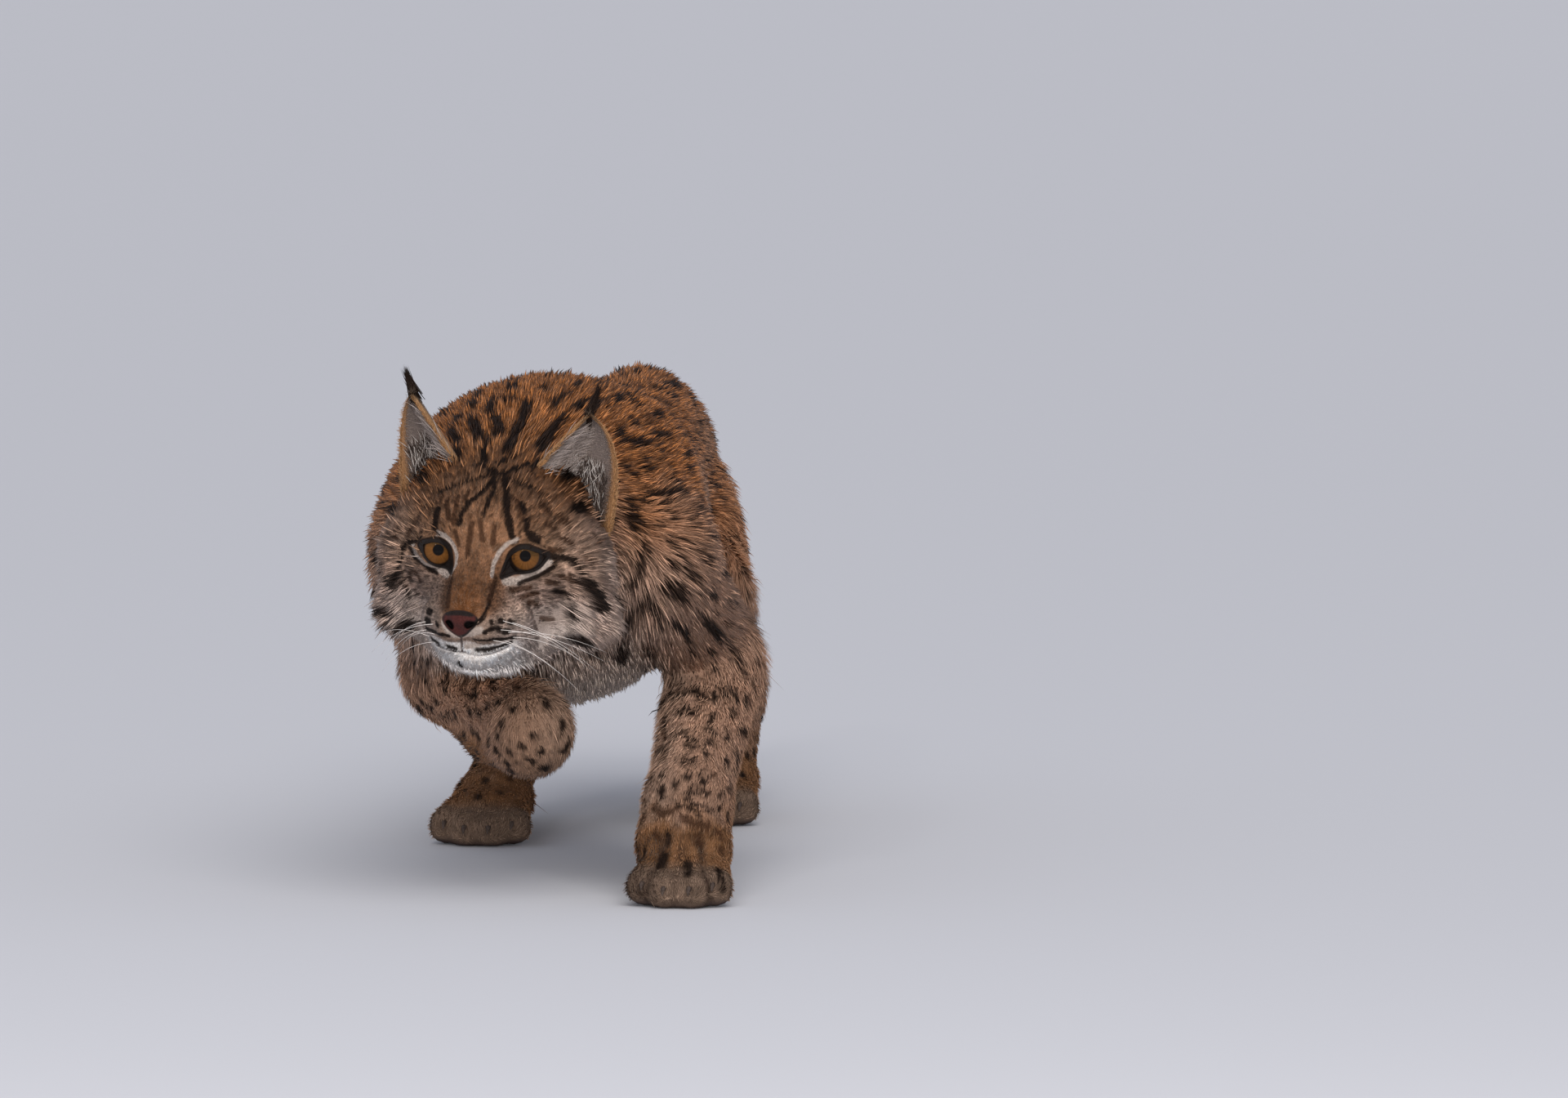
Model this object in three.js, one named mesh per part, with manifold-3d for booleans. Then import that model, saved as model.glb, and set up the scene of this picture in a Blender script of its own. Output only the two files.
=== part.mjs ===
import * as THREE from "three";
import { mergeVertices } from "three/addons/utils/BufferGeometryUtils.js";
import Module from "manifold-3d";

// A Eurasian lynx in winter coat, life-size, in a low, creeping walk: one forepaw planted, the other lifted
// and carried inward under the chin. Millimetres; +X is the animal's left, it faces -Y, +Z is up.
//
// SPEC holds its measurements. Each limb is an oval cone between two points, with half-width and half-height
// at each end, and k is the width of its blend into what comes before. The spine's rows give the centre
// (x, y, z) and the half-width and half-height of the neck and trunk. The head's rows are in its own frame:
// left, back and up from the point between the eyes.
const SPEC = {
  "spine": [
    ["nape",        -19, -128, 250,  66,  64],
    ["neck",        -17, -104, 246,  84,  82],
    ["throat_base", -13,  -75, 243,  96,  95],
    ["breast",       -8,  -25, 239, 110, 111],
    ["shoulders",    -5,   30, 235, 114, 119],
    ["ribs",         -3,  110, 229, 104, 118],
    ["last_rib",      0,  210, 224,  90, 110],
    ["loin",          1,  320, 227,  73,  98],
    ["haunch",        1,  420, 231,  63,  95],
    ["croup",         0,  505, 235,  56,  91],
    ["rump",          0,  552, 235,  51,  83],
    ["rump_end",      0,  572, 234,  49,  80]
  ],
  "spine_ends": [36, 56],
  "trunk_blobs": [
    {"name": "scapula_left",  "from": [46, 72, 292],   "to": [80, -52, 230],  "r0": [38, 34], "r1": [42, 42], "k": 34},
    {"name": "scapula_right", "from": [-52, 60, 290],  "to": [-75, -62, 226], "r0": [34, 32], "r1": [36, 42], "k": 34},
    {"name": "haunch_left",   "from": [24, 510, 208],  "to": [49, 400, 194],  "r0": [34, 46], "r1": [36, 52], "k": 24},
    {"name": "haunch_right",  "from": [-26, 510, 208], "to": [-50, 380, 208], "r0": [34, 46], "r1": [36, 50], "k": 24}
  ],
  "tail": [
    {"name": "tail_root", "from": [1, 566, 262], "to": [4, 640, 252],  "r0": [34, 34], "r1": [28, 27], "k": 26},
    {"name": "tail_end",  "from": [4, 640, 252], "to": [10, 722, 216], "r0": [28, 27], "r1": [23, 22], "k": 12}
  ],
  "foreleg_left": [
    {"name": "upper_arm", "from": [84, -52, 226],  "to": [106, 86, 154],  "r0": [42, 52], "r1": [32, 46], "k": 16},
    {"name": "elbow",     "from": [108, 100, 154], "to": [109, 82, 144],  "r0": [27, 32], "r1": [30, 36], "k": 12},
    {"name": "forearm",   "from": [108, 78, 144],  "to": [109, -78, 66],  "r0": [39, 42], "r1": [31, 32], "k": 14},
    {"name": "wrist",     "from": [109, -78, 62],  "to": [109, -106, 42], "r0": [32, 31], "r1": [34, 29], "k": 12},
    {"name": "palm",      "from": [110, -96, 30],  "to": [113, -136, 19], "r0": [32, 27], "r1": [34, 21], "k": 12}
  ],
  "foreleg_right": [
    {"name": "upper_arm",  "from": [-76, -60, 218], "to": [-84, 52, 156],  "r0": [37, 50], "r1": [30, 40], "k": 16},
    {"name": "elbow",      "from": [-86, 68, 156],  "to": [-82, 54, 146],  "r0": [27, 29], "r1": [29, 33], "k": 12},
    {"name": "forearm",    "from": [-78, 44, 138],  "to": [4, -96, 115],   "r0": [32, 38], "r1": [28, 32], "k": 14},
    {"name": "wrist",      "from": [4, -96, 115],   "to": [0, -84, 103],   "r0": [28, 30], "r1": [28, 24], "k": 10},
    {"name": "metacarpus", "from": [-1, -84, 104],  "to": [-28, -28, 99],  "r0": [28, 24], "r1": [30, 20], "k": 10}
  ],
  "hindleg_left": [
    {"name": "thigh",      "from": [36, 506, 204], "to": [73, 332, 168],  "r0": [37, 56], "r1": [32, 48], "k": 24},
    {"name": "calf",       "from": [73, 332, 164], "to": [70, 500, 104],  "r0": [31, 40], "r1": [21, 25], "k": 18},
    {"name": "hock",       "from": [69, 526, 102], "to": [69, 490, 80],   "r0": [18, 19], "r1": [22, 24], "k": 12},
    {"name": "metatarsus", "from": [69, 505, 86],  "to": [68, 415, 29],   "r0": [23, 25], "r1": [27, 24], "k": 14},
    {"name": "sole",       "from": [68, 412, 24],  "to": [68, 372, 18],   "r0": [30, 24], "r1": [33, 20], "k": 12}
  ],
  "hindleg_right": [
    {"name": "thigh",      "from": [-34, 506, 206], "to": [-74, 300, 196], "r0": [37, 56], "r1": [32, 48], "k": 24},
    {"name": "calf",       "from": [-74, 300, 190], "to": [-79, 372, 80],  "r0": [31, 42], "r1": [22, 26], "k": 18},
    {"name": "hock",       "from": [-79, 394, 60],  "to": [-79, 356, 48],  "r0": [18, 20], "r1": [22, 24], "k": 12},
    {"name": "metatarsus", "from": [-79, 372, 51],  "to": [-78, 276, 27],  "r0": [23, 25], "r1": [27, 23], "k": 14},
    {"name": "sole",       "from": [-78, 272, 23],  "to": [-78, 226, 18],  "r0": [30, 23], "r1": [33, 20], "k": 12}
  ],
  "paws": [
    {"name": "forepaw_left",  "at": [113, -138, 20], "to": [114, -166, 12.5], "side": [1, 0, 0],          "spread": 23, "r": 14.5, "k": 6},
    {"name": "forepaw_right", "at": [-28, -30, 99],  "to": [-38, -4, 98],     "side": [0.86, 0.28, -0.42],  "spread": 20, "r": 14.0, "k": 6},
    {"name": "hindpaw_left",  "at": [68, 372, 19],   "to": [68, 346, 12.5],   "side": [1, 0, 0],          "spread": 23, "r": 14.5, "k": 6},
    {"name": "hindpaw_right", "at": [-78, 226, 19],  "to": [-78, 200, 12.5],  "side": [1, 0, 0],          "spread": 23, "r": 14.5, "k": 6}
  ],
  "head_pose": {"at": [-19.2, -200, 243.7], "yaw": -5.5, "pitch": 15.5, "roll": 1.5},
  "head": [
    {"name": "cranium",     "from": [0, 46, 4],      "to": [0, 76, 4],      "r0": [52, 42], "r1": [56, 45], "k": 18},
    {"name": "forehead",    "from": [0, 22, 12],     "to": [0, 48, 16],     "r0": [36, 24], "r1": [48, 31], "k": 14},
    {"name": "bridge",      "from": [0, 11, 5],      "to": [0, -35, -20],   "r0": [19, 16], "r1": [14, 10], "k": 10},
    {"name": "muzzle",      "from": [0, 4, -28],     "to": [0, -29, -33],   "r0": [33, 24], "r1": [20, 14], "k": 12},
    {"name": "pad_left",    "from": [21, -9, -43],   "to": [11, -33, -41],  "r0": [17, 17], "r1": [12, 11], "k": 8},
    {"name": "pad_right",   "from": [-21, -9, -43],  "to": [-11, -33, -41], "r0": [17, 17], "r1": [12, 11], "k": 8},
    {"name": "nose",        "from": [0, -34, -25],   "to": [0, -41, -29],   "r0": [12, 7],  "r1": [11, 7.5], "k": 4},
    {"name": "chin",        "from": [0, 0, -62],     "to": [0, -17, -62],   "r0": [24, 17], "r1": [18, 14], "k": 9},
    {"name": "jaw",         "from": [0, 6, -54],     "to": [0, 60, -42],    "r0": [38, 24], "r1": [56, 38], "k": 16},
    {"name": "cheek_left",  "from": [35, 25, -18],   "to": [46, 46, -16],   "r0": [22, 25], "r1": [27, 36], "k": 14},
    {"name": "cheek_right", "from": [-35, 25, -18],  "to": [-46, 46, -16],  "r0": [22, 25], "r1": [27, 36], "k": 14},
    {"name": "brow_left",   "from": [18, 14, 15],    "to": [37, 25, 14],    "r0": [10, 8],  "r1": [10, 8], "k": 10},
    {"name": "brow_right",  "from": [-18, 14, 15],   "to": [-37, 25, 14],   "r0": [10, 8],  "r1": [10, 8], "k": 10},
    {"name": "ruff_left",   "from": [58, 52, -22],   "to": [62, 50, -60],   "r0": [24, 28], "r1": [26, 28], "k": 22},
    {"name": "ruff_right",  "from": [-58, 52, -22],  "to": [-62, 50, -60],  "r0": [24, 28], "r1": [26, 28], "k": 22},
    {"name": "throat",      "from": [0, 34, -68],    "to": [0, 84, -56],    "r0": [52, 21], "r1": [64, 34], "k": 22}
  ],
  "eye": {"at": [30.5, 10.5, -2.5], "r": 13.2},
  "ears": [
    {"name": "ear_left",  "side": 1,  "inner": [17, 60, 36],  "outer": [76, 82, -10], "edge": [90, 84, 62],  "tip": [61, 73, 80],  "tuft": [66, 92, 97]},
    {"name": "ear_right", "side": -1, "inner": [-26, 60, 42], "outer": [-75, 82, 4],  "edge": [-79, 84, 64], "tip": [-64, 72, 87], "tuft": [-71, 84, 102]}
  ],
  "ear_wall": 3.2
};

// Grid steps, in mm: the body, the paws and the head are meshed at their own fineness.
const STEP = { body: 33, leg: 24, paw: 13.2, head: 11.8, sleeve: 30 };
const GAP = 0.4;            // clearance between neighbouring parts
const SLEEVE = 7;           // how far a leg's parting surface stands off the leg's own bones and muscle
const SHOULDER_CUT = 0.36;  // share of the upper arm left in the trunk
const HIP_CUT = 0.4;        // share of the thigh left in the trunk
const NECK_PLANE = 92;      // behind the eyes, along the head's own axis
const BREAST_PLANE = -66;   // where the neck meets the shoulders, along the body
const TAIL_PLANE = 604;     // where the tail leaves the rump
const EAR_SINK = 9;         // how deep an ear's root goes into the head before it is trimmed

const COLOURS = {
  coat: [0x9a7457, 0.92, 0], nape: [0x9c6a40, 0.92, 0], face: [0x97745a, 0.9, 0], paw: [0xa9794b, 0.92, 0],
  tail: [0x8d6443, 0.92, 0], ear: [0x8f7a6c, 0.9, 0], eye: [0x7a5a24, 0.12, 0],
};

// ---------- vectors ----------
const sub = (a, b) => [a[0] - b[0], a[1] - b[1], a[2] - b[2]];
const add = (a, b, s = 1) => [a[0] + b[0] * s, a[1] + b[1] * s, a[2] + b[2] * s];
const dot = (a, b) => a[0] * b[0] + a[1] * b[1] + a[2] * b[2];
const cross = (a, b) => [a[1] * b[2] - a[2] * b[1], a[2] * b[0] - a[0] * b[2], a[0] * b[1] - a[1] * b[0]];
const unit = (a) => { const n = Math.hypot(...a); return [a[0] / n, a[1] / n, a[2] / n]; };
const mix = (a, b, t) => [a[0] + (b[0] - a[0]) * t, a[1] + (b[1] - a[1]) * t, a[2] + (b[2] - a[2]) * t];

// ---------- the head's own frame: left, back and up ----------
const rad = (d) => (d * Math.PI) / 180;
const HEAD_AXES = (() => {
  const { yaw, pitch, roll } = SPEC.head_pose;
  const m = new THREE.Matrix4().makeRotationX(rad(pitch))
    .multiply(new THREE.Matrix4().makeRotationZ(rad(yaw)))
    .multiply(new THREE.Matrix4().makeRotationY(rad(roll)));
  const e = m.elements;
  return [[e[0], e[1], e[2]], [e[4], e[5], e[6]], [e[8], e[9], e[10]]];
})();
const HEAD_AT = SPEC.head_pose.at;
const toHead = (p) => { const d = sub(p, HEAD_AT); return HEAD_AXES.map((a) => dot(d, a)); };
const fromHead = (q) => HEAD_AXES.reduce((s, a, i) => add(s, a, q[i]), HEAD_AT);

// ---------- distance to the shapes ----------
const blend = (a, b, k) => { const h = Math.max(k - Math.abs(a - b), 0) / k; return Math.min(a, b) - (h * h * k) / 4; };

// An elliptic cone with round ends: half-width and half-height at each end.
function limb(s) {
  const a = s.from, ab = sub(s.to, a), n = Math.hypot(...ab), w = unit(ab);
  let v = [0, 0, 1];
  if (Math.abs(dot(v, w)) > 0.93) v = [0, 1, 0];
  v = unit(add(v, w, -dot(v, w)));
  const u = cross(v, w), [rw0, rh0] = s.r0, [rw1, rh1] = s.r1;
  return (p) => {
    const d = sub(p, a), along = dot(d, w), t = Math.min(1, Math.max(0, along / n));
    const rw = rw0 + (rw1 - rw0) * t, rh = rh0 + (rh1 - rh0) * t, rm = (rw + rh) / 2;
    const x = dot(d, u), y = dot(d, v), z = along - t * n;
    const q = Math.hypot(x / rw, y / rh, z / rm) + 1e-9;
    const g = Math.hypot(x / (rw * rw), y / (rh * rh), z / (rm * rm)) + 1e-9;
    return ((q - 1) * q) / g;
  };
}
function chain(parts) {
  const f = parts.map(limb);
  return (p) => { let d = f[0](p); for (let i = 1; i < f.length; i++) d = blend(d, f[i](p), parts[i].k); return d; };
}

// The neck and trunk: an oval section carried along the spine.
const STATIONS = SPEC.spine.map((r) => r.slice(1));
const SLOPES = STATIONS.map((r, i) => [0, 2, 3, 4].map((c) => {
  const at = (j) => STATIONS[j], y = (j) => STATIONS[j][1];
  if (i === 0) return (at(1)[c] - r[c]) / (y(1) - y(0));
  if (i === STATIONS.length - 1) return (r[c] - at(i - 1)[c]) / (y(i) - y(i - 1));
  const h0 = y(i) - y(i - 1), h1 = y(i + 1) - y(i);
  return (h0 * h0 * at(i + 1)[c] + (h1 * h1 - h0 * h0) * r[c] - h1 * h1 * at(i - 1)[c]) / (h0 * h1 * (h0 + h1));
}));
function spine(p) {
  const last = STATIONS.length - 1;
  const y = Math.min(STATIONS[last][1], Math.max(STATIONS[0][1], p[1]));
  let i = 0;
  while (i < last - 1 && y > STATIONS[i + 1][1]) i++;
  const h = STATIONS[i + 1][1] - STATIONS[i][1], t = (y - STATIONS[i][1]) / h;
  const [cx, cz, w, hh] = [0, 2, 3, 4].map((c, k) => (2 * t ** 3 - 3 * t ** 2 + 1) * STATIONS[i][c]
    + (t ** 3 - 2 * t ** 2 + t) * h * SLOPES[i][k] + (3 * t ** 2 - 2 * t ** 3) * STATIONS[i + 1][c]
    + (t ** 3 - t ** 2) * h * SLOPES[i + 1][k]);
  const dx = p[0] - cx, dz = p[2] - cz, dy = p[1] - y, m = SPEC.spine_ends[dy < 0 ? 0 : 1];
  const q = Math.hypot(dx / w, dz / hh, dy / m) + 1e-9;
  return ((q - 1) * q) / (Math.hypot(dx / (w * w), dz / (hh * hh), dy / (m * m)) + 1e-9);
}

// Four toes side by side, the middle two reaching further.
function toes(s) {
  const side = unit(s.side), c = unit(sub(s.to, s.at));
  return [[-1, -7], [-0.36, 2], [0.36, 2], [1, -7]].map(([o, reach]) => ({
    from: add(add(s.at, side, o * s.spread * 0.86), c, reach * 0.4),
    to: add(add(s.to, side, o * s.spread * 1.06), c, reach),
    r0: [s.r * 0.86, s.r * 0.86], r1: [s.r, s.r], k: s.k,
  }));
}

const JOIN = { head: 26, tail: 22, foreleg_left: 22, foreleg_right: 10, hindleg_left: 20, hindleg_right: 20 };
const LEGS = ["foreleg_left", "foreleg_right", "hindleg_left", "hindleg_right"];
const legParts = (name) => [...SPEC[name], ...toes(SPEC.paws.find((s) => s.name === name.replace("leg", "paw")))];
const legShapes = Object.fromEntries(LEGS.map((n) => [n, chain(legParts(n))]));
const headShape = (() => { const f = chain(SPEC.head); return (p) => f(toHead(p)); })();
const blobs = SPEC.trunk_blobs.map((s) => [limb(s), s.k]);
const tailShape = chain(SPEC.tail);
function body(p) {
  let d = spine(p);
  for (const [f, k] of blobs) d = blend(d, f(p), k);
  d = blend(d, headShape(p), JOIN.head);
  d = blend(d, tailShape(p), JOIN.tail);
  for (const n of LEGS) d = blend(d, legShapes[n](p), JOIN[n]);
  return d;
}

// ---------- meshing ----------
// A net of four-sided faces over the surface where f is zero, its corners drawn onto the surface.
function net(f, lo, hi, step, pulls = 3) {
  const n = [0, 1, 2].map((i) => Math.ceil((hi[i] - lo[i]) / step) + 1);
  const id = (i, j, k) => (i * n[1] + j) * n[2] + k;
  const at = (i, j, k) => [lo[0] + i * step, lo[1] + j * step, lo[2] + k * step];
  const val = new Float64Array(n[0] * n[1] * n[2]);
  for (let i = 0; i < n[0]; i++) for (let j = 0; j < n[1]; j++) for (let k = 0; k < n[2]; k++) val[id(i, j, k)] = f(at(i, j, k));
  const cell = new Int32Array(val.length).fill(-1), pts = [];
  const bits = [0, 1, 2, 3, 4, 5, 6, 7].map((b) => [b & 1, (b >> 1) & 1, (b >> 2) & 1]);
  // two folds of skin that would meet along one edge of the net are closed up, so the net stays simple
  const rings = [[0, 1, 3, 2], [4, 5, 7, 6], [0, 1, 5, 4], [2, 3, 7, 6], [0, 2, 6, 4], [1, 3, 7, 5]];
  for (let again = true, round = 0; again && round < 30; round++) {
    again = false;
    for (let i = 0; i < n[0] - 1; i++) for (let j = 0; j < n[1] - 1; j++) for (let k = 0; k < n[2] - 1; k++) {
      const at8 = bits.map(([a, b, c]) => id(i + a, j + b, k + c));
      const fill = (list) => {
        const out = list.filter((e) => val[at8[e]] >= 0).sort((a, b) => val[at8[a]] - val[at8[b]])[0];
        val[at8[out]] = -0.02 * step; again = true;
      };
      for (const r of rings) {
        const s = r.map((e) => val[at8[e]] < 0);
        if (s[0] === s[2] && s[1] === s[3] && s[0] !== s[1]) fill(r);
      }
      const inside = [0, 1, 2, 3, 4, 5, 6, 7].filter((e) => val[at8[e]] < 0);
      if ((inside.length === 2 && (inside[0] ^ inside[1]) === 7)) fill([0, 1, 2, 3, 4, 5, 6, 7]);
      if (inside.length === 6) {
        const o = [0, 1, 2, 3, 4, 5, 6, 7].filter((e) => val[at8[e]] >= 0);
        if ((o[0] ^ o[1]) === 7) fill(o);
      }
    }
  }
  for (let i = 0; i < n[0] - 1; i++) for (let j = 0; j < n[1] - 1; j++) for (let k = 0; k < n[2] - 1; k++) {
    const v = bits.map(([a, b, c]) => val[id(i + a, j + b, k + c)]);
    const inside = v.filter((x) => x < 0).length;
    if (inside === 0 || inside === 8) continue;
    let s = [0, 0, 0], m = 0;
    for (let e = 0; e < 8; e++) for (let ax = 0; ax < 3; ax++) {
      if (bits[e][ax]) continue;
      const g = e | (1 << ax);
      if ((v[e] < 0) === (v[g] < 0)) continue;
      const t = v[e] / (v[e] - v[g]), q = [...bits[e]];
      q[ax] += t; s = add(s, q); m++;
    }
    cell[id(i, j, k)] = pts.length;
    pts.push(add(at(i, j, k), s, step / m));
  }
  const tri = [];
  for (let i = 0; i < n[0]; i++) for (let j = 0; j < n[1]; j++) for (let k = 0; k < n[2]; k++) for (let ax = 0; ax < 3; ax++) {
    const e = [i, j, k]; e[ax]++;
    if (e[ax] >= n[ax]) continue;
    const a = val[id(i, j, k)] < 0, b = val[id(...e)] < 0;
    if (a === b) continue;
    const o1 = (ax + 1) % 3, o2 = (ax + 2) % 3, q = [i, j, k];
    if (q[o1] < 1 || q[o2] < 1) continue;
    const c = (d1, d2) => { const r = [i, j, k]; r[o1] -= d1; r[o2] -= d2; return cell[id(...r)]; };
    let loop = [c(1, 1), c(0, 1), c(0, 0), c(1, 0)];
    if (!a) loop.reverse();
    tri.push(loop);
  }
  const h = 0.25;
  for (let pass = 0; pass < pulls; pass++) for (let i = 0; i < pts.length; i++) {
    const p = pts[i], d = f(p);
    const g = [0, 1, 2].map((a) => { const q = [...p], r = [...p]; q[a] += h; r[a] -= h; return (f(q) - f(r)) / (2 * h); });
    const s = Math.max(-step * 0.4, Math.min(step * 0.4, d / Math.max(dot(g, g), 0.2)));
    pts[i] = add(p, g, -s);
  }
  // each face is split along its shorter diagonal
  const faces = [];
  for (const [a, b, c, d] of tri) {
    const l1 = Math.hypot(...sub(pts[a], pts[c])), l2 = Math.hypot(...sub(pts[b], pts[d]));
    if (l1 < l2) faces.push([a, b, c], [a, c, d]); else faces.push([a, b, d], [b, c, d]);
  }
  return { pts, faces };
}
function normalsOf({ pts, faces }) {
  const nrm = pts.map(() => [0, 0, 0]);
  for (const [a, b, c] of faces) {
    const n = cross(sub(pts[b], pts[a]), sub(pts[c], pts[a]));
    for (const i of [a, b, c]) nrm[i] = add(nrm[i], n);
  }
  return nrm.map(unit);
}
// The part of the body within a box, closed by the box's sides.
const netWithin = (lo, hi, step) => net(
  (p) => Math.max(body(p), lo[0] - p[0], lo[1] - p[1], lo[2] - p[2], p[0] - hi[0], p[1] - hi[1], p[2] - hi[2]),
  lo.map((x) => x - 2 * step), hi.map((x) => x + 2 * step), step);
const swell = (m, by) => { const n = normalsOf(m); return { pts: m.pts.map((p, i) => add(p, n[i], by)), faces: m.faces }; };

const wasm = await Module();
wasm.setup();
const { Manifold, Mesh } = wasm;
const solid = ({ pts, faces }) => {
  const m = new Mesh({ numProp: 3, vertProperties: new Float32Array(pts.flat()), triVerts: new Uint32Array(faces.flat()) });
  m.merge();
  return new Manifold(m);
};
// A box given by its centre, half-sizes and a turn about X, or in the head's frame.
function box(centre, half, tilt = 0, frame = null) {
  const g = new THREE.BoxGeometry(half[0] * 2, half[1] * 2, half[2] * 2);
  g.deleteAttribute("normal"); g.deleteAttribute("uv");
  const m = mergeVertices(g, 1e-6), a = m.attributes.position, c = Math.cos(rad(tilt)), s = Math.sin(rad(tilt));
  const pts = [];
  for (let i = 0; i < a.count; i++) {
    const q = [a.getX(i), a.getY(i) * c - a.getZ(i) * s, a.getY(i) * s + a.getZ(i) * c];
    pts.push(frame ? frame(add(q, centre)) : add(q, centre));
  }
  const ix = m.index.array, faces = [];
  for (let i = 0; i < ix.length; i += 3) faces.push([ix[i], ix[i + 1], ix[i + 2]]);
  return solid({ pts, faces });
}
function ball(centre, r) {
  const g = new THREE.SphereGeometry(r, 16, 10);
  g.deleteAttribute("normal"); g.deleteAttribute("uv");
  g.rotateX(Math.PI / 2);
  const m = mergeVertices(g, 1e-4), a = m.attributes.position, pts = [], faces = [], ix = m.index.array;
  for (let i = 0; i < a.count; i++) pts.push(add(centre, [a.getX(i), a.getY(i), a.getZ(i)]));
  for (let i = 0; i < ix.length; i += 3) faces.push([ix[i], ix[i + 1], ix[i + 2]]);
  return solid({ pts, faces });
}

// An ear: a cupped shell open to the front, narrowing to a curved tuft of hair at its tip.
function ear(s, root = -0.16) {
  const bez = (a, b, c, t) => mix(mix(a, b, t), mix(b, c, t), t);
  const face = unit([0.32 * s.side, -0.94, 0.06]), back = [-face[0], -face[1], -face[2]];
  const inBulge = add(mix(s.inner, s.tip, 0.55), [4 * s.side, 0, 7]);
  const rings = [], N = 6, LEVELS = 7;
  for (let l = 0; l <= LEVELS; l++) {
    const t = root + (0.985 - root) * (l / LEVELS), u = Math.max(t, 0);
    let m = bez(s.inner, inBulge, s.tip, u), o = bez(s.outer, s.edge, s.tip, u);
    if (t < 0) { const d = sub(mix(s.inner, s.outer, 0.5), s.tip); m = add(m, unit(d), -t * 60); o = add(o, unit(d), -t * 60); }
    const across = sub(o, m), depth = 4 + 21 * (1 - u) ** 0.8, wall = Math.min(SPEC.ear_wall, 1.4 + 3 * (1 - u)), rim = 0.06;
    const ring = [];
    for (let i = 0; i < N; i++) { const k = i / (N - 1); ring.push(add(add(m, across, k), back, depth * Math.sin(Math.PI * k) ** 0.75)); }
    for (let i = N - 1; i >= 0; i--) {
      const k = i / (N - 1), kk = rim + (1 - 2 * rim) * k;
      ring.push(add(add(m, across, kk), back, Math.max(0, depth - wall) * Math.sin(Math.PI * k) ** 0.75 - (i === 0 || i === N - 1 ? 0.8 : 0)));
    }
    rings.push(ring);
  }
  const centre = (r) => r.reduce((a, p) => add(a, p, 1 / r.length), [0, 0, 0]);
  const c0 = centre(rings[LEVELS]), size = 2 * N;
  for (const [t, r] of [[0.3, 2.6], [0.7, 1.5]]) {
    const c = bez(c0, add(s.tip, sub(s.tip, s.edge), 0.12), s.tuft, t);
    rings.push(rings[LEVELS].map((p) => { const d = sub(p, c0), n = Math.hypot(...d) + 1e-6; return add(c, d, r / Math.max(n, 1.2)); }));
  }
  const pts = rings.flat(), faces = [];
  for (let l = 0; l < rings.length - 1; l++) for (let i = 0; i < size; i++) {
    const j = (i + 1) % size, a = l * size + i, b = l * size + j, c = (l + 1) * size + j, d = (l + 1) * size + i;
    faces.push([a, b, c], [a, c, d]);
  }
  // the root is closed by a strip between its outer and inner arcs, the tuft by a point
  for (let i = 0; i < N - 1; i++) { const a = i, b = i + 1, c = size - 2 - i, d = size - 1 - i; faces.push([a, d, c], [a, c, b]); }
  const tip = pts.push(s.tuft) - 1, top = (rings.length - 1) * size;
  for (let i = 0; i < size; i++) faces.push([top + i, top + ((i + 1) % size), tip]);
  const out = { pts: pts.map(fromHead), faces };
  let vol = 0;
  for (const [a, b, c] of faces) vol += dot(out.pts[a], cross(out.pts[b], out.pts[c]));
  if (vol < 0) out.faces = faces.map(([a, b, c]) => [a, c, b]);
  return out;
}

// ---------- the parts ----------
const inHead = (q, half) => box(q, half, 0, fromHead);
const whole = net(body, [-190, -330, -22], [200, 800, 420], STEP.body);
const fineHead = netWithin([-180, -290, 128], [140, -30, 370], STEP.head);

// legs: each lies in a sleeve that stands off its own shape, starting part way down the upper arm or thigh
function sleeveOf(name) {
  const parts = legParts(name).map((s) => ({ ...s }));
  const cut = name.startsWith("fore") ? SHOULDER_CUT : HIP_CUT;
  parts[0] = { ...parts[0], from: mix(parts[0].from, parts[0].to, cut),
    r0: [0, 1].map((i) => parts[0].r0[i] + (parts[0].r1[i] - parts[0].r0[i]) * cut) };
  const f = chain(parts), g = (p) => f(p) - SLEEVE;
  const all = parts.flatMap((s) => [s.from, s.to]);
  const lo = [0, 1, 2].map((i) => Math.min(...all.map((p) => p[i])) - 78), hi = [0, 1, 2].map((i) => Math.max(...all.map((p) => p[i])) + 78);
  return net(g, lo, hi, STEP.sleeve);
}
const sleeves = Object.fromEntries(LEGS.map((n) => { const m = sleeveOf(n); return [n, [solid(m), solid(swell(m, GAP))]]; }));

// the fine net for the paws, and the boxes that part them from the legs
const PAW_BOX = {
  foreleg_right: [[-18, -29, 76], [60, 57, 28], -5],
  foreleg_left: [[110, -152, 14], [64, 60, 66], -34],
  hindleg_left: [[68, 345, 2], [56, 80, 52], -28],
  hindleg_right: [[-78, 204, 2], [56, 88, 52], -16],
};
const above = box([0, 200, 400], [600, 900, 400]);
const base = solid(whole).intersect(above);
const headSide = inHead([0, NECK_PLANE - 300, 0], [260, 300, 300]);
const headSideWide = inHead([0, NECK_PLANE - 300 + GAP, 0], [260, 300, 300]);
const neckFront = box([0, BREAST_PLANE - 300, 250], [400, 300, 400]);
const neckFrontWide = box([0, BREAST_PLANE - 300 + GAP, 250], [400, 300, 400]);
const tailBack = box([0, TAIL_PLANE + 300, 250], [300, 300, 300]);
const tailBackWide = box([0, TAIL_PLANE + 300 - GAP, 250], [300, 300, 300]);

const nodes = [];
const biggest = (m) => m.decompose().sort((a, b) => b.volume() - a.volume())[0];
const put = (name, m, colour) => nodes.push([name, biggest(m), colour]);

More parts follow.
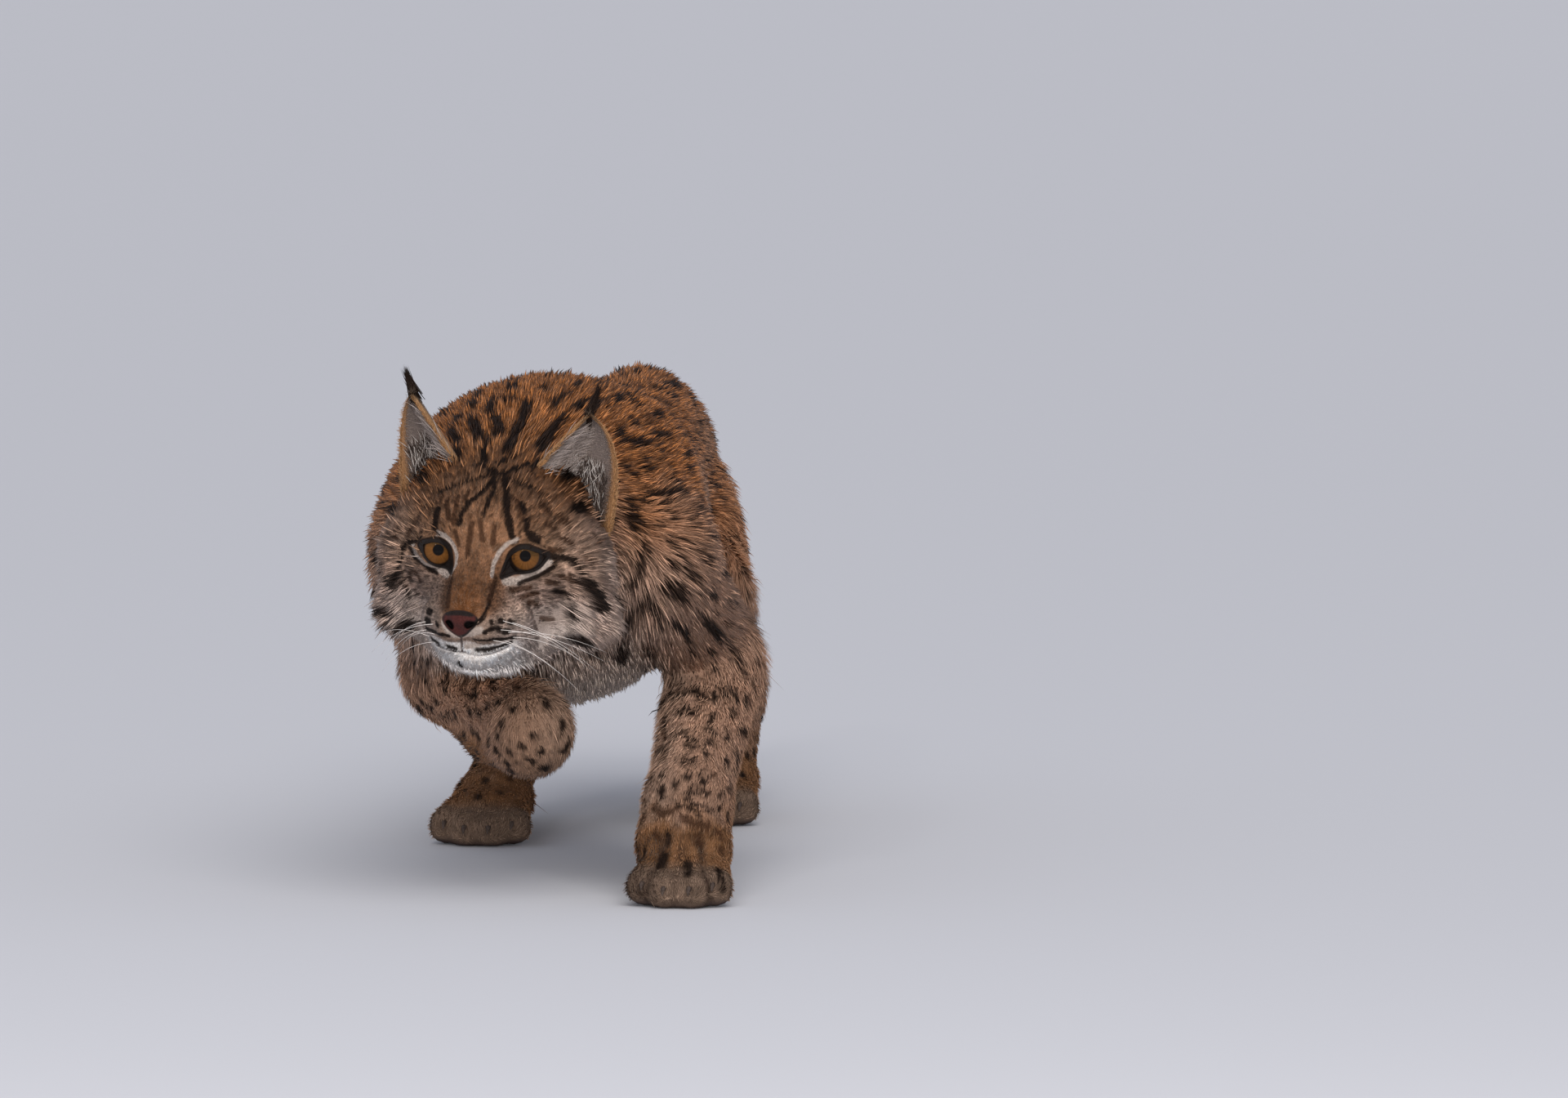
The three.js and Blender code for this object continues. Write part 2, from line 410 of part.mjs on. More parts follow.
let torso = base;
for (const n of LEGS) torso = torso.subtract(sleeves[n][1]);
const notLegs = (m) => LEGS.reduce((a, n) => a.subtract(sleeves[n][1]), m);
const fine = solid(fineHead);
const eyes = [1, -1].map((s) => ball(fromHead([SPEC.eye.at[0] * s, SPEC.eye.at[1], SPEC.eye.at[2]]), SPEC.eye.r));
const sockets = [1, -1].map((s) => ball(fromHead([SPEC.eye.at[0] * s, SPEC.eye.at[1], SPEC.eye.at[2]]), SPEC.eye.r + GAP));
let headSolid = notLegs(fine.intersect(headSide));
const headTrim = solid(swell(fineHead, GAP)).intersect(headSideWide);
for (const s of sockets) headSolid = headSolid.subtract(s);
put("head", headSolid, "face");
const neckTrim = solid(swell(whole, GAP));
for (const s of SPEC.ears) put(s.name, solid(ear(s)).subtract(headTrim).subtract(neckTrim), "ear");
put("eye_left", eyes[0], "eye");
put("eye_right", eyes[1], "eye");
put("neck", torso.intersect(neckFront).subtract(headSideWide), "nape");
put("trunk", torso.subtract(neckFrontWide).subtract(tailBackWide), "coat");
put("tail", torso.intersect(tailBack), "tail");

for (const n of LEGS) {
  const paw = n.replace("leg", "paw"), parts = legParts(n);
  const ends = parts.slice(-4).flatMap((s) => [s.from, s.to]);
  const lo = [0, 1, 2].map((i) => Math.min(...ends.map((p) => p[i])) - 96), hi = [0, 1, 2].map((i) => Math.max(...ends.map((p) => p[i])) + 96);
  const bones = parts.flatMap((s) => [s.from, s.to]);
  const lo2 = [0, 1, 2].map((i) => Math.min(...bones.map((p) => p[i])) - 86), hi2 = [0, 1, 2].map((i) => Math.max(...bones.map((p) => p[i])) + 86);
  const limbBase = solid(netWithin(lo2, hi2, STEP.leg)).intersect(above);
  const detail = solid(netWithin(lo, hi, STEP.paw)).intersect(above);
  const [c, h, tilt] = PAW_BOX[n];
  const cut = box(c, h, tilt), wide = box(c, h.map((x) => x + GAP), tilt);
  put(n, limbBase.intersect(sleeves[n][0]).subtract(wide), "coat");
  put(paw, detail.intersect(sleeves[n][0]).intersect(cut), "paw");
}

// ---------- to millimetres about the middle of the footprint, on the floor ----------
const group = new THREE.Group();
group.name = "eurasian_lynx";
const bounds = new THREE.Box3();
const made = nodes.map(([name, m, colour]) => {
  const mesh = m.getMesh(), src = mesh.vertProperties, np = mesh.numProp, flat = new Float32Array((src.length / np) * 3);
  for (let i = 0; i < src.length / np; i++) for (let k = 0; k < 3; k++) flat[i * 3 + k] = src[i * np + k];
  let g = new THREE.BufferGeometry();
  g.setAttribute("position", new THREE.BufferAttribute(flat, 3));
  g.setIndex(new THREE.BufferAttribute(new Uint32Array(mesh.triVerts), 1));
  g = mergeVertices(g, 1e-4);
  g.computeBoundingBox();
  bounds.union(g.boundingBox);
  return [name, g, colour];
});
export const CENTRE = [(bounds.min.x + bounds.max.x) / 2, (bounds.min.y + bounds.max.y) / 2, bounds.min.z];
for (const [name, g, colour] of made) {
  g.translate(-CENTRE[0], -CENTRE[1], -CENTRE[2]);
  const [c, roughness, metalness] = COLOURS[colour];
  const mesh = new THREE.Mesh(g, new THREE.MeshStandardMaterial({ color: c, roughness, metalness }));
  mesh.name = name;
  group.add(mesh);
}
export default group;
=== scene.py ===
import math
import bpy
import bmesh
import numpy as np
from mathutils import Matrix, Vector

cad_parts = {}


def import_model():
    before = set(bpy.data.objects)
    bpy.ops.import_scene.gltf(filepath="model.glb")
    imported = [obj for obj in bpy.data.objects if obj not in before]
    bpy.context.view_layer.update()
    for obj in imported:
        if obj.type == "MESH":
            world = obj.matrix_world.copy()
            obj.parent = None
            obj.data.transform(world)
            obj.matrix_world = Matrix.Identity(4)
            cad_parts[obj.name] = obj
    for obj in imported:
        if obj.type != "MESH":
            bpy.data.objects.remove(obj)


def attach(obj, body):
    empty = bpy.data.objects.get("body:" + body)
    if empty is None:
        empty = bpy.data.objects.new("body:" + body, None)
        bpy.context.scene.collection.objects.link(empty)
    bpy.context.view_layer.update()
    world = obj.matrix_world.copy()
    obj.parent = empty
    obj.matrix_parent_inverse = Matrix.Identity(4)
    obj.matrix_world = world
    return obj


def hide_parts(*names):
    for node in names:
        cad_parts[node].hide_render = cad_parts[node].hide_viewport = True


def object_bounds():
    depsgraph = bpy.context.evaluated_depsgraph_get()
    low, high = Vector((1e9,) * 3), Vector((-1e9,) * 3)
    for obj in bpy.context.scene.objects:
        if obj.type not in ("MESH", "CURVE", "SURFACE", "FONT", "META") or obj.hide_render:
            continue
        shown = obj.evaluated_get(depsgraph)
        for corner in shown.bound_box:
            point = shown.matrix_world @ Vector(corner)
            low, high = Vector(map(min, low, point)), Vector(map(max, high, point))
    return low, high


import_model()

CAD_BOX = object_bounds()
CENTRE = np.array([13.031482696533203, 250.81410217285156, 0.0])   # the animal frame's point that stands at the part's origin

# Stations, limbs and blobs of the body; the head's are in its own frame.
SPEC = {
  "spine": [
    ["nape",        -19, -128, 250,  66,  64],
    ["neck",        -17, -104, 246,  84,  82],
    ["throat_base", -13,  -75, 243,  96,  95],
    ["breast",       -8,  -25, 239, 110, 111],
    ["shoulders",    -5,   30, 235, 114, 119],
    ["ribs",         -3,  110, 229, 104, 118],
    ["last_rib",      0,  210, 224,  90, 110],
    ["loin",          1,  320, 227,  73,  98],
    ["haunch",        1,  420, 231,  63,  95],
    ["croup",         0,  505, 235,  56,  91],
    ["rump",          0,  552, 235,  51,  83],
    ["rump_end",      0,  572, 234,  49,  80]
  ],
  "spine_ends": [36, 56],
  "trunk_blobs": [
    {"name": "scapula_left",  "from": [46, 72, 292],   "to": [80, -52, 230],  "r0": [38, 34], "r1": [42, 42], "k": 34},
    {"name": "scapula_right", "from": [-52, 60, 290],  "to": [-75, -62, 226], "r0": [34, 32], "r1": [36, 42], "k": 34},
    {"name": "haunch_left",   "from": [24, 510, 208],  "to": [49, 400, 194],  "r0": [34, 46], "r1": [36, 52], "k": 24},
    {"name": "haunch_right",  "from": [-26, 510, 208], "to": [-50, 380, 208], "r0": [34, 46], "r1": [36, 50], "k": 24}
  ],
  "tail": [
    {"name": "tail_root", "from": [1, 566, 262], "to": [4, 640, 252],  "r0": [34, 34], "r1": [28, 27], "k": 26},
    {"name": "tail_end",  "from": [4, 640, 252], "to": [10, 722, 216], "r0": [28, 27], "r1": [23, 22], "k": 12}
  ],
  "foreleg_left": [
    {"name": "upper_arm", "from": [84, -52, 226],  "to": [106, 86, 154],  "r0": [42, 52], "r1": [32, 46], "k": 16},
    {"name": "elbow",     "from": [108, 100, 154], "to": [109, 82, 144],  "r0": [27, 32], "r1": [30, 36], "k": 12},
    {"name": "forearm",   "from": [108, 78, 144],  "to": [109, -78, 66],  "r0": [39, 42], "r1": [31, 32], "k": 14},
    {"name": "wrist",     "from": [109, -78, 62],  "to": [109, -106, 42], "r0": [32, 31], "r1": [34, 29], "k": 12},
    {"name": "palm",      "from": [110, -96, 30],  "to": [113, -136, 19], "r0": [32, 27], "r1": [34, 21], "k": 12}
  ],
  "foreleg_right": [
    {"name": "upper_arm",  "from": [-76, -60, 218], "to": [-84, 52, 156],  "r0": [37, 50], "r1": [30, 40], "k": 16},
    {"name": "elbow",      "from": [-86, 68, 156],  "to": [-82, 54, 146],  "r0": [27, 29], "r1": [29, 33], "k": 12},
    {"name": "forearm",    "from": [-78, 44, 138],  "to": [4, -96, 115],   "r0": [32, 38], "r1": [28, 32], "k": 14},
    {"name": "wrist",      "from": [4, -96, 115],   "to": [0, -84, 103],   "r0": [28, 30], "r1": [28, 24], "k": 10},
    {"name": "metacarpus", "from": [-1, -84, 104],  "to": [-28, -28, 99],  "r0": [28, 24], "r1": [30, 20], "k": 10}
  ],
  "hindleg_left": [
    {"name": "thigh",      "from": [36, 506, 204], "to": [73, 332, 168],  "r0": [37, 56], "r1": [32, 48], "k": 24},
    {"name": "calf",       "from": [73, 332, 164], "to": [70, 500, 104],  "r0": [31, 40], "r1": [21, 25], "k": 18},
    {"name": "hock",       "from": [69, 526, 102], "to": [69, 490, 80],   "r0": [18, 19], "r1": [22, 24], "k": 12},
    {"name": "metatarsus", "from": [69, 505, 86],  "to": [68, 415, 29],   "r0": [23, 25], "r1": [27, 24], "k": 14},
    {"name": "sole",       "from": [68, 412, 24],  "to": [68, 372, 18],   "r0": [30, 24], "r1": [33, 20], "k": 12}
  ],
  "hindleg_right": [
    {"name": "thigh",      "from": [-34, 506, 206], "to": [-74, 300, 196], "r0": [37, 56], "r1": [32, 48], "k": 24},
    {"name": "calf",       "from": [-74, 300, 190], "to": [-79, 372, 80],  "r0": [31, 42], "r1": [22, 26], "k": 18},
    {"name": "hock",       "from": [-79, 394, 60],  "to": [-79, 356, 48],  "r0": [18, 20], "r1": [22, 24], "k": 12},
    {"name": "metatarsus", "from": [-79, 372, 51],  "to": [-78, 276, 27],  "r0": [23, 25], "r1": [27, 23], "k": 14},
    {"name": "sole",       "from": [-78, 272, 23],  "to": [-78, 226, 18],  "r0": [30, 23], "r1": [33, 20], "k": 12}
  ],
  "paws": [
    {"name": "forepaw_left",  "at": [113, -138, 20], "to": [114, -166, 12.5], "side": [1, 0, 0],          "spread": 23, "r": 14.5, "k": 6},
    {"name": "forepaw_right", "at": [-28, -30, 99],  "to": [-38, -4, 98],     "side": [0.86, 0.28, -0.42],  "spread": 20, "r": 14.0, "k": 6},
    {"name": "hindpaw_left",  "at": [68, 372, 19],   "to": [68, 346, 12.5],   "side": [1, 0, 0],          "spread": 23, "r": 14.5, "k": 6},
    {"name": "hindpaw_right", "at": [-78, 226, 19],  "to": [-78, 200, 12.5],  "side": [1, 0, 0],          "spread": 23, "r": 14.5, "k": 6}
  ],
  "head_pose": {"at": [-19.2, -200, 243.7], "yaw": -5.5, "pitch": 15.5, "roll": 1.5},
  "head": [
    {"name": "cranium",     "from": [0, 46, 4],      "to": [0, 76, 4],      "r0": [52, 42], "r1": [56, 45], "k": 18},
    {"name": "forehead",    "from": [0, 22, 12],     "to": [0, 48, 16],     "r0": [36, 24], "r1": [48, 31], "k": 14},
    {"name": "bridge",      "from": [0, 11, 5],      "to": [0, -35, -20],   "r0": [19, 16], "r1": [14, 10], "k": 10},
    {"name": "muzzle",      "from": [0, 4, -28],     "to": [0, -29, -33],   "r0": [33, 24], "r1": [20, 14], "k": 12},
    {"name": "pad_left",    "from": [21, -9, -43],   "to": [11, -33, -41],  "r0": [17, 17], "r1": [12, 11], "k": 8},
    {"name": "pad_right",   "from": [-21, -9, -43],  "to": [-11, -33, -41], "r0": [17, 17], "r1": [12, 11], "k": 8},
    {"name": "nose",        "from": [0, -34, -25],   "to": [0, -41, -29],   "r0": [12, 7],  "r1": [11, 7.5], "k": 4},
    {"name": "chin",        "from": [0, 0, -62],     "to": [0, -17, -62],   "r0": [24, 17], "r1": [18, 14], "k": 9},
    {"name": "jaw",         "from": [0, 6, -54],     "to": [0, 60, -42],    "r0": [38, 24], "r1": [56, 38], "k": 16},
    {"name": "cheek_left",  "from": [35, 25, -18],   "to": [46, 46, -16],   "r0": [22, 25], "r1": [27, 36], "k": 14},
    {"name": "cheek_right", "from": [-35, 25, -18],  "to": [-46, 46, -16],  "r0": [22, 25], "r1": [27, 36], "k": 14},
    {"name": "brow_left",   "from": [18, 14, 15],    "to": [37, 25, 14],    "r0": [10, 8],  "r1": [10, 8], "k": 10},
    {"name": "brow_right",  "from": [-18, 14, 15],   "to": [-37, 25, 14],   "r0": [10, 8],  "r1": [10, 8], "k": 10},
    {"name": "ruff_left",   "from": [58, 52, -22],   "to": [62, 50, -60],   "r0": [24, 28], "r1": [26, 28], "k": 22},
    {"name": "ruff_right",  "from": [-58, 52, -22],  "to": [-62, 50, -60],  "r0": [24, 28], "r1": [26, 28], "k": 22},
    {"name": "throat",      "from": [0, 34, -68],    "to": [0, 84, -56],    "r0": [52, 21], "r1": [64, 34], "k": 22}
  ],
  "eye": {"at": [30.5, 10.5, -2.5], "r": 13.2},
  "ears": [
    {"name": "ear_left",  "side": 1,  "inner": [17, 60, 36],  "outer": [76, 82, -10], "edge": [90, 84, 62],  "tip": [61, 73, 80],  "tuft": [66, 92, 97]},
    {"name": "ear_right", "side": -1, "inner": [-26, 60, 42], "outer": [-75, 82, 4],  "edge": [-79, 84, 64], "tip": [-64, 72, 87], "tuft": [-71, 84, 102]}
  ],
  "ear_wall": 3.2
}

# ---------------------------------------------------------------- numbers
SKIN_STEP = 4.6            # mesh step of the skin over the trunk and legs; halved on the head, again on the face and eyes
BLADE = dict(face=0.5, head=0.7, body=0.95, leg=0.8)   # widths of the coat's locks
COUNT = dict(face=64000, head=46000, ruff=8000, under=88000, guard=24000, legs=60000, tail=12000)
FAR = 70.0

# Albedos, linear.
RUFOUS = (0.380, 0.142, 0.044)
RUSSET_DARK = (0.170, 0.070, 0.028)
FLANK = (0.390, 0.205, 0.120)
FLANK_LOW = (0.520, 0.345, 0.255)
GREY_PINK = (0.440, 0.290, 0.215)
LEG = (0.450, 0.265, 0.180)
PAW = (0.320, 0.155, 0.072)
TOE = (0.270, 0.180, 0.130)
WHITE = (0.880, 0.820, 0.780)
CREAM = (0.700, 0.520, 0.390)
BLACK = (0.020, 0.012, 0.009)
FOREHEAD = (0.240, 0.118, 0.062)
BRIDGE = (0.125, 0.048, 0.017)
CHEEK = (0.400, 0.270, 0.215)
LEATHER = (0.055, 0.016, 0.014)
LIP = (0.035, 0.024, 0.022)
EAR_GREY = (0.210, 0.170, 0.155)
EAR_BACK = (0.150, 0.105, 0.085)
PAD = (0.050, 0.034, 0.030)


def unit(v):
    v = np.asarray(v, float)
    return v / np.linalg.norm(v)


def units(v):
    return v / np.maximum(np.linalg.norm(v, axis=1), 1e-9)[:, None]


def ss(a, b, x):
    t = np.clip((x - a) / (b - a), 0, 1)
    return t * t * (3 - 2 * t)


def mixc(a, b, t):
    t = np.asarray(t)[..., None]
    return np.asarray(a) * (1 - t) + np.asarray(b) * t


def world(p):
    return (np.asarray(p, float) - CENTRE) / 1000.0


# ---------------------------------------------------------------- the form
def turn(yaw, pitch, roll):
    y, p, r = np.radians([yaw, pitch, roll])
    ry = np.array([[np.cos(y), -np.sin(y), 0], [np.sin(y), np.cos(y), 0], [0, 0, 1]])
    rp = np.array([[1, 0, 0], [0, np.cos(p), -np.sin(p)], [0, np.sin(p), np.cos(p)]])
    rr = np.array([[np.cos(r), 0, np.sin(r)], [0, 1, 0], [-np.sin(r), 0, np.cos(r)]])
    return rp @ ry @ rr


HEAD_AT = np.array(SPEC["head_pose"]["at"], float)
HEAD_R = turn(SPEC["head_pose"]["yaw"], SPEC["head_pose"]["pitch"], SPEC["head_pose"]["roll"])


def to_head(p):
    return (p - HEAD_AT) @ HEAD_R


def from_head(q):
    return np.asarray(q, float) @ HEAD_R.T + HEAD_AT


def smin(a, b, k):
    h = np.maximum(k - np.abs(a - b), 0) / k
    return np.minimum(a, b) - h * h * k * 0.25


_AXES = {}


def limb_axes(s):
    if id(s) in _AXES:
        return _AXES[id(s)]
    a, b = np.array(s["from"], float), np.array(s["to"], float)
    n = np.linalg.norm(b - a)
    w = (b - a) / n
    v = np.array(s.get("up", (0, 0, 1)), float)
    if abs(v @ w) > 0.93:
        v = np.array([0.0, 1.0, 0.0]) if abs(w[1]) < 0.9 else np.array([0.0, 0.0, 1.0])
    v = unit(v - (v @ w) * w)
    _AXES[id(s)] = (a, b, n, w, v, np.cross(v, w))
    return _AXES[id(s)]


def limb(p, s):
    a, b, n, w, v, u = limb_axes(s)
    d = p - a
    along = d @ w
    t = np.clip(along / n, 0, 1)
    rw = s["r0"][0] + (s["r1"][0] - s["r0"][0]) * t
    rh = s["r0"][1] + (s["r1"][1] - s["r0"][1]) * t
    rm = (rw + rh) / 2
    du, dv, dw = (d @ u) / rw, (d @ v) / rh, (along - t * n) / rm
    q = np.sqrt(du * du + dv * dv + dw * dw) + 1e-9
    g = np.sqrt((du / rw) ** 2 + (dv / rh) ** 2 + (dw / rm) ** 2) + 1e-9
    return (q - 1) * q / g


def chain(p, parts):
    d = None
    for s in parts:
        e = limb(p, s)
        d = e if d is None else smin(d, e, s["k"])
    return d


_ST = np.array([r[1:] for r in SPEC["spine"]], float)
_SM = {c: np.gradient(_ST[:, c], _ST[:, 1]) for c in (0, 2, 3, 4)}


def spine_at(y):
    ys = _ST[:, 1]
    out = []
    i = np.clip(np.searchsorted(ys, y) - 1, 0, len(ys) - 2)
    h = ys[i + 1] - ys[i]
    t = np.clip((y - ys[i]) / h, 0, 1)
    for c in (0, 2, 3, 4):
        f, m = _ST[:, c], _SM[c]
        out.append((2 * t**3 - 3 * t**2 + 1) * f[i] + (t**3 - 2 * t**2 + t) * h * m[i]
                   + (-2 * t**3 + 3 * t**2) * f[i + 1] + (t**3 - t**2) * h * m[i + 1])
    return out


def spine(p):
    y0, y1 = _ST[0, 1], _ST[-1, 1]
    yc = np.clip(p[:, 1], y0, y1)
    cx, cz, w, h = spine_at(yc)
    dx, dz, dy = p[:, 0] - cx, p[:, 2] - cz, p[:, 1] - yc
    m = np.where(dy < 0, SPEC["spine_ends"][0], SPEC["spine_ends"][1])
    q = np.sqrt((dx / w) ** 2 + (dz / h) ** 2 + (dy / m) ** 2) + 1e-9
    g = np.sqrt((dx / w**2) ** 2 + (dz / h**2) ** 2 + (dy / m**2) ** 2) + 1e-9
    return (q - 1) * q / g


def toes(s):
    a, b, side = (np.array(s[x], float) for x in ("at", "to", "side"))
    side, c = unit(side), unit(b - a)
    out = []
    for o, reach in ((-1.0, -7.0), (-0.36, 2.0), (0.36, 2.0), (1.0, -7.0)):
        out.append({"name": "toe", "from": a + side * o * s["spread"] * 0.86 + c * reach * 0.4,
                    "to": b + side * o * s["spread"] * 1.06 + c * reach,
                    "r0": [s["r"] * 0.86] * 2, "r1": [s["r"]] * 2, "k": s["k"]})
    return out


LEGS = ("foreleg_left", "foreleg_right", "hindleg_left", "hindleg_right")
PAWS = {s["name"].replace("paw", "leg"): s for s in SPEC["paws"]}
CHAINS = {n: list(SPEC[n]) + toes(PAWS[n]) for n in LEGS}
CHAINS["tail"] = SPEC["tail"]
JOIN = {"head": 26, "tail": 22, "foreleg_left": 22, "foreleg_right": 10, "hindleg_left": 20, "hindleg_right": 20}
ORDER = ("trunk", "head", "tail") + LEGS


def _box(parts):
    pts = np.array([s[k] for s in parts for k in ("from", "to")], float)
    r = max(max(s["r0"] + s["r1"]) for s in parts)
    return pts.min(0) - r, pts.max(0) + r


BOXES = {n: _box(c) for n, c in CHAINS.items()}


def _head_fn(p):
    return chain(to_head(p), SPEC["head"])


_hb = np.array(_box(SPEC["head"]))
_hc = from_head(np.array([[x, y, z] for x in _hb[:, 0] for y in _hb[:, 1] for z in _hb[:, 2]]))
BOXES["head"] = (_hc.min(0), _hc.max(0))


def _trunk_fn(p):
    d = spine(p)
    for s in SPEC["trunk_blobs"]:
        d = smin(d, limb(p, s), s["k"])
    return d


FNS = {"trunk": _trunk_fn, "head": _head_fn}
for _n, _c in CHAINS.items():
    FNS[_n] = (lambda c: lambda p: chain(p, c))(_c)


def fields(p):
    """Distance to each part; past FAR from a part's box it is just FAR."""
    out = {}
    for n in ORDER:
        if n == "trunk":
            out[n] = FNS[n](p)
            continue
        lo, hi = BOXES[n]
        d = np.full(len(p), FAR)
        m = np.all((p > lo - FAR * 0.8) & (p < hi + FAR * 0.8), 1)
        if m.any():
            d[m] = np.minimum(FNS[n](p[m]), FAR)
        out[n] = d
    return out


def joined(D):
    d = D["trunk"]
    for n in ORDER[1:]:
        d = smin(d, D[n], JOIN[n])
    return d


def shares(D, soft=10.0):
    """How much each part has of a point, adding up to one."""
    m = np.min([D[n] for n in ORDER], 0)
    w = {n: np.exp(-(D[n] - m) / soft) for n in ORDER}
    t = sum(w.values())
    return {n: v / t for n, v in w.items()}


def head_depth(q):
    x, y, z = np.abs(q[:, 0]), q[:, 1], q[:, 2]
    return (1.1 + 2.6 * ss(5, 55, y) + 6.5 * ss(36, 74, x) * ss(0, -42, z) * ss(12, 45, y)
            + 6.0 * ss(-58, -92, z) * ss(0, 42, y) + 1.2 * ss(-60, -76, z))


def leg_depth(n, p):
    z = p[:, 2]
    if n == "foreleg_right":
        return 2.8 + 4.5 * ss(100, 200, z)
    return (2.6 + 5.0 * ss(40, 170, z)) * (0.12 + 0.88 * ss(0, 16, z))


def depth(p, D):
    """How far the skin lies under the coat's outline."""
    w = shares(D, 12.0)
    out = 9.2 * w["trunk"] + 7.5 * w["tail"] + head_depth(to_head(p)) * w["head"]
    for n in LEGS:
        out = out + leg_depth(n, p) * w[n]
    return out


def skin(p):
    D = fields(p)
    return np.maximum(joined(D) + depth(p, D), 0.15 - p[:, 2])


def outline(p):
    """Distance to the outline of the coat."""
    return joined(fields(p))


def onto(p, n):
    """Moves points along n to the coat's outline."""
    for _ in range(2):
        p = p - n * np.clip(outline(p), -16, 16)[:, None]
    return p


# ---------------------------------------------------------------- the view the marks were read in
CAM = dict(az=7.0, el=5.0, D=9000.0, F=15750.0, at=(671.0, 1074.0), w=1920, h=1344)
_a, _e = math.radians(CAM["az"]), math.radians(CAM["el"])
BACK = np.array([math.sin(_a) * math.cos(_e), -math.cos(_a) * math.cos(_e), math.sin(_e)])
RIGHT = np.array([math.cos(_a), math.sin(_a), 0.0])
UP = np.cross(BACK, RIGHT)
_u, _v = (CAM["at"][0] - CAM["w"] / 2) / CAM["F"], (CAM["h"] / 2 - CAM["at"][1]) / CAM["F"]
EYEPOINT = BACK * CAM["D"] - RIGHT * _u * CAM["D"] - UP * _v * CAM["D"]


def pix(p):
    d = p - EYEPOINT
    z = -(d @ BACK)
    return CAM["w"] / 2 + CAM["F"] * (d @ RIGHT) / z, CAM["h"] / 2 - CAM["F"] * (d @ UP) / z


def cast(px, py):
    """Points of the coat's outline seen at these places of the view; rows of nan where there are none."""
    px, py = np.atleast_1d(px).astype(float), np.atleast_1d(py).astype(float)
    d = units(-BACK + np.outer((px - CAM["w"] / 2) / CAM["F"], RIGHT) + np.outer((CAM["h"] / 2 - py) / CAM["F"], UP))
    t = np.full(len(px), CAM["D"] - 480.0)
    for _ in range(70):
        p = EYEPOINT + d * t[:, None]
        f = outline(p)
        t = t + np.clip(f * 0.8, -6, 12)
    p = EYEPOINT + d * t[:, None]
    p[np.abs(outline(p)) > 1.5] = np.nan
    return p


# ---------------------------------------------------------------- the skin's mesh
def sparse_field(fn, lo, hi, step, stride=4):
    n = np.ceil((hi - lo) / step / stride).astype(int) * stride + 1
    ax = [lo[i] + step * np.arange(n[i]) for i in range(3)]
    cn = (n - 1) // stride
    cc = [lo[i] + step * stride * (np.arange(cn[i]) + 0.5) for i in range(3)]
    g = np.stack(np.meshgrid(*cc, indexing="ij"), -1).reshape(-1, 3)
    cf = fn(g).reshape(cn)
    near = np.abs(cf) < step * stride * 0.87 * 1.45 + 3
    f = np.repeat(np.repeat(np.repeat(cf, stride, 0), stride, 1), stride, 2)
    f = np.pad(f, ((0, 1), (0, 1), (0, 1)), mode="edge")
    m = np.zeros(n, bool)
    for i in (0, 1):
        for j in (0, 1):
            for k in (0, 1):
                b = np.zeros(n, bool)
                r = np.repeat(np.repeat(np.repeat(near, stride, 0), stride, 1), stride, 2)
                b[i:i + r.shape[0], j:j + r.shape[1], k:k + r.shape[2]] = r
                m |= b
    ids = np.argwhere(m)
    pts = np.stack([ax[i][ids[:, i]] for i in range(3)], 1)
    f[m] = np.concatenate([fn(pts[i:i + 300000]) for i in range(0, len(pts), 300000)])
    return f


def repair(f):
    """Fills corners until no cell has a face with only diagonal corners inside, so that the surface net is a manifold."""
    for _ in range(12):
        s = f < 0
        fill = np.zeros_like(s)
        for a, b in ((0, 1), (1, 2), (0, 2)):
            def at(i, j):
                sl = [slice(None)] * 3
                sl[a] = slice(i, s.shape[a] - 1 + i)
                sl[b] = slice(j, s.shape[b] - 1 + j)
                return tuple(sl)
            bad1 = s[at(0, 0)] & s[at(1, 1)] & ~s[at(0, 1)] & ~s[at(1, 0)]
            bad2 = ~s[at(0, 0)] & ~s[at(1, 1)] & s[at(0, 1)] & s[at(1, 0)]
            fill[at(0, 1)] |= bad1
            fill[at(0, 0)] |= bad2
        c = [s[i:s.shape[0] - 1 + i, j:s.shape[1] - 1 + j, k:s.shape[2] - 1 + k]
             for i in (0, 1) for j in (0, 1) for k in (0, 1)]
        cnt = sum(x.astype(int) for x in c)
        for i, j, k in ((0, 0, 0), (0, 0, 1), (0, 1, 0), (0, 1, 1)):
            o = (1 - i, 1 - j, 1 - k)
            A = c[i * 4 + j * 2 + k]
            B = c[o[0] * 4 + o[1] * 2 + o[2]]
            bad = ((cnt == 2) & A & B) | ((cnt == 6) & ~A & ~B)
            for x in ((0, 0, 1), (0, 1, 0)):
                fill[x[0]:s.shape[0] - 1 + x[0], x[1]:s.shape[1] - 1 + x[1], x[2]:s.shape[2] - 1 + x[2]] |= bad
        fill &= ~s
        if not fill.any():
            break
        f[fill] = -0.02
    return f


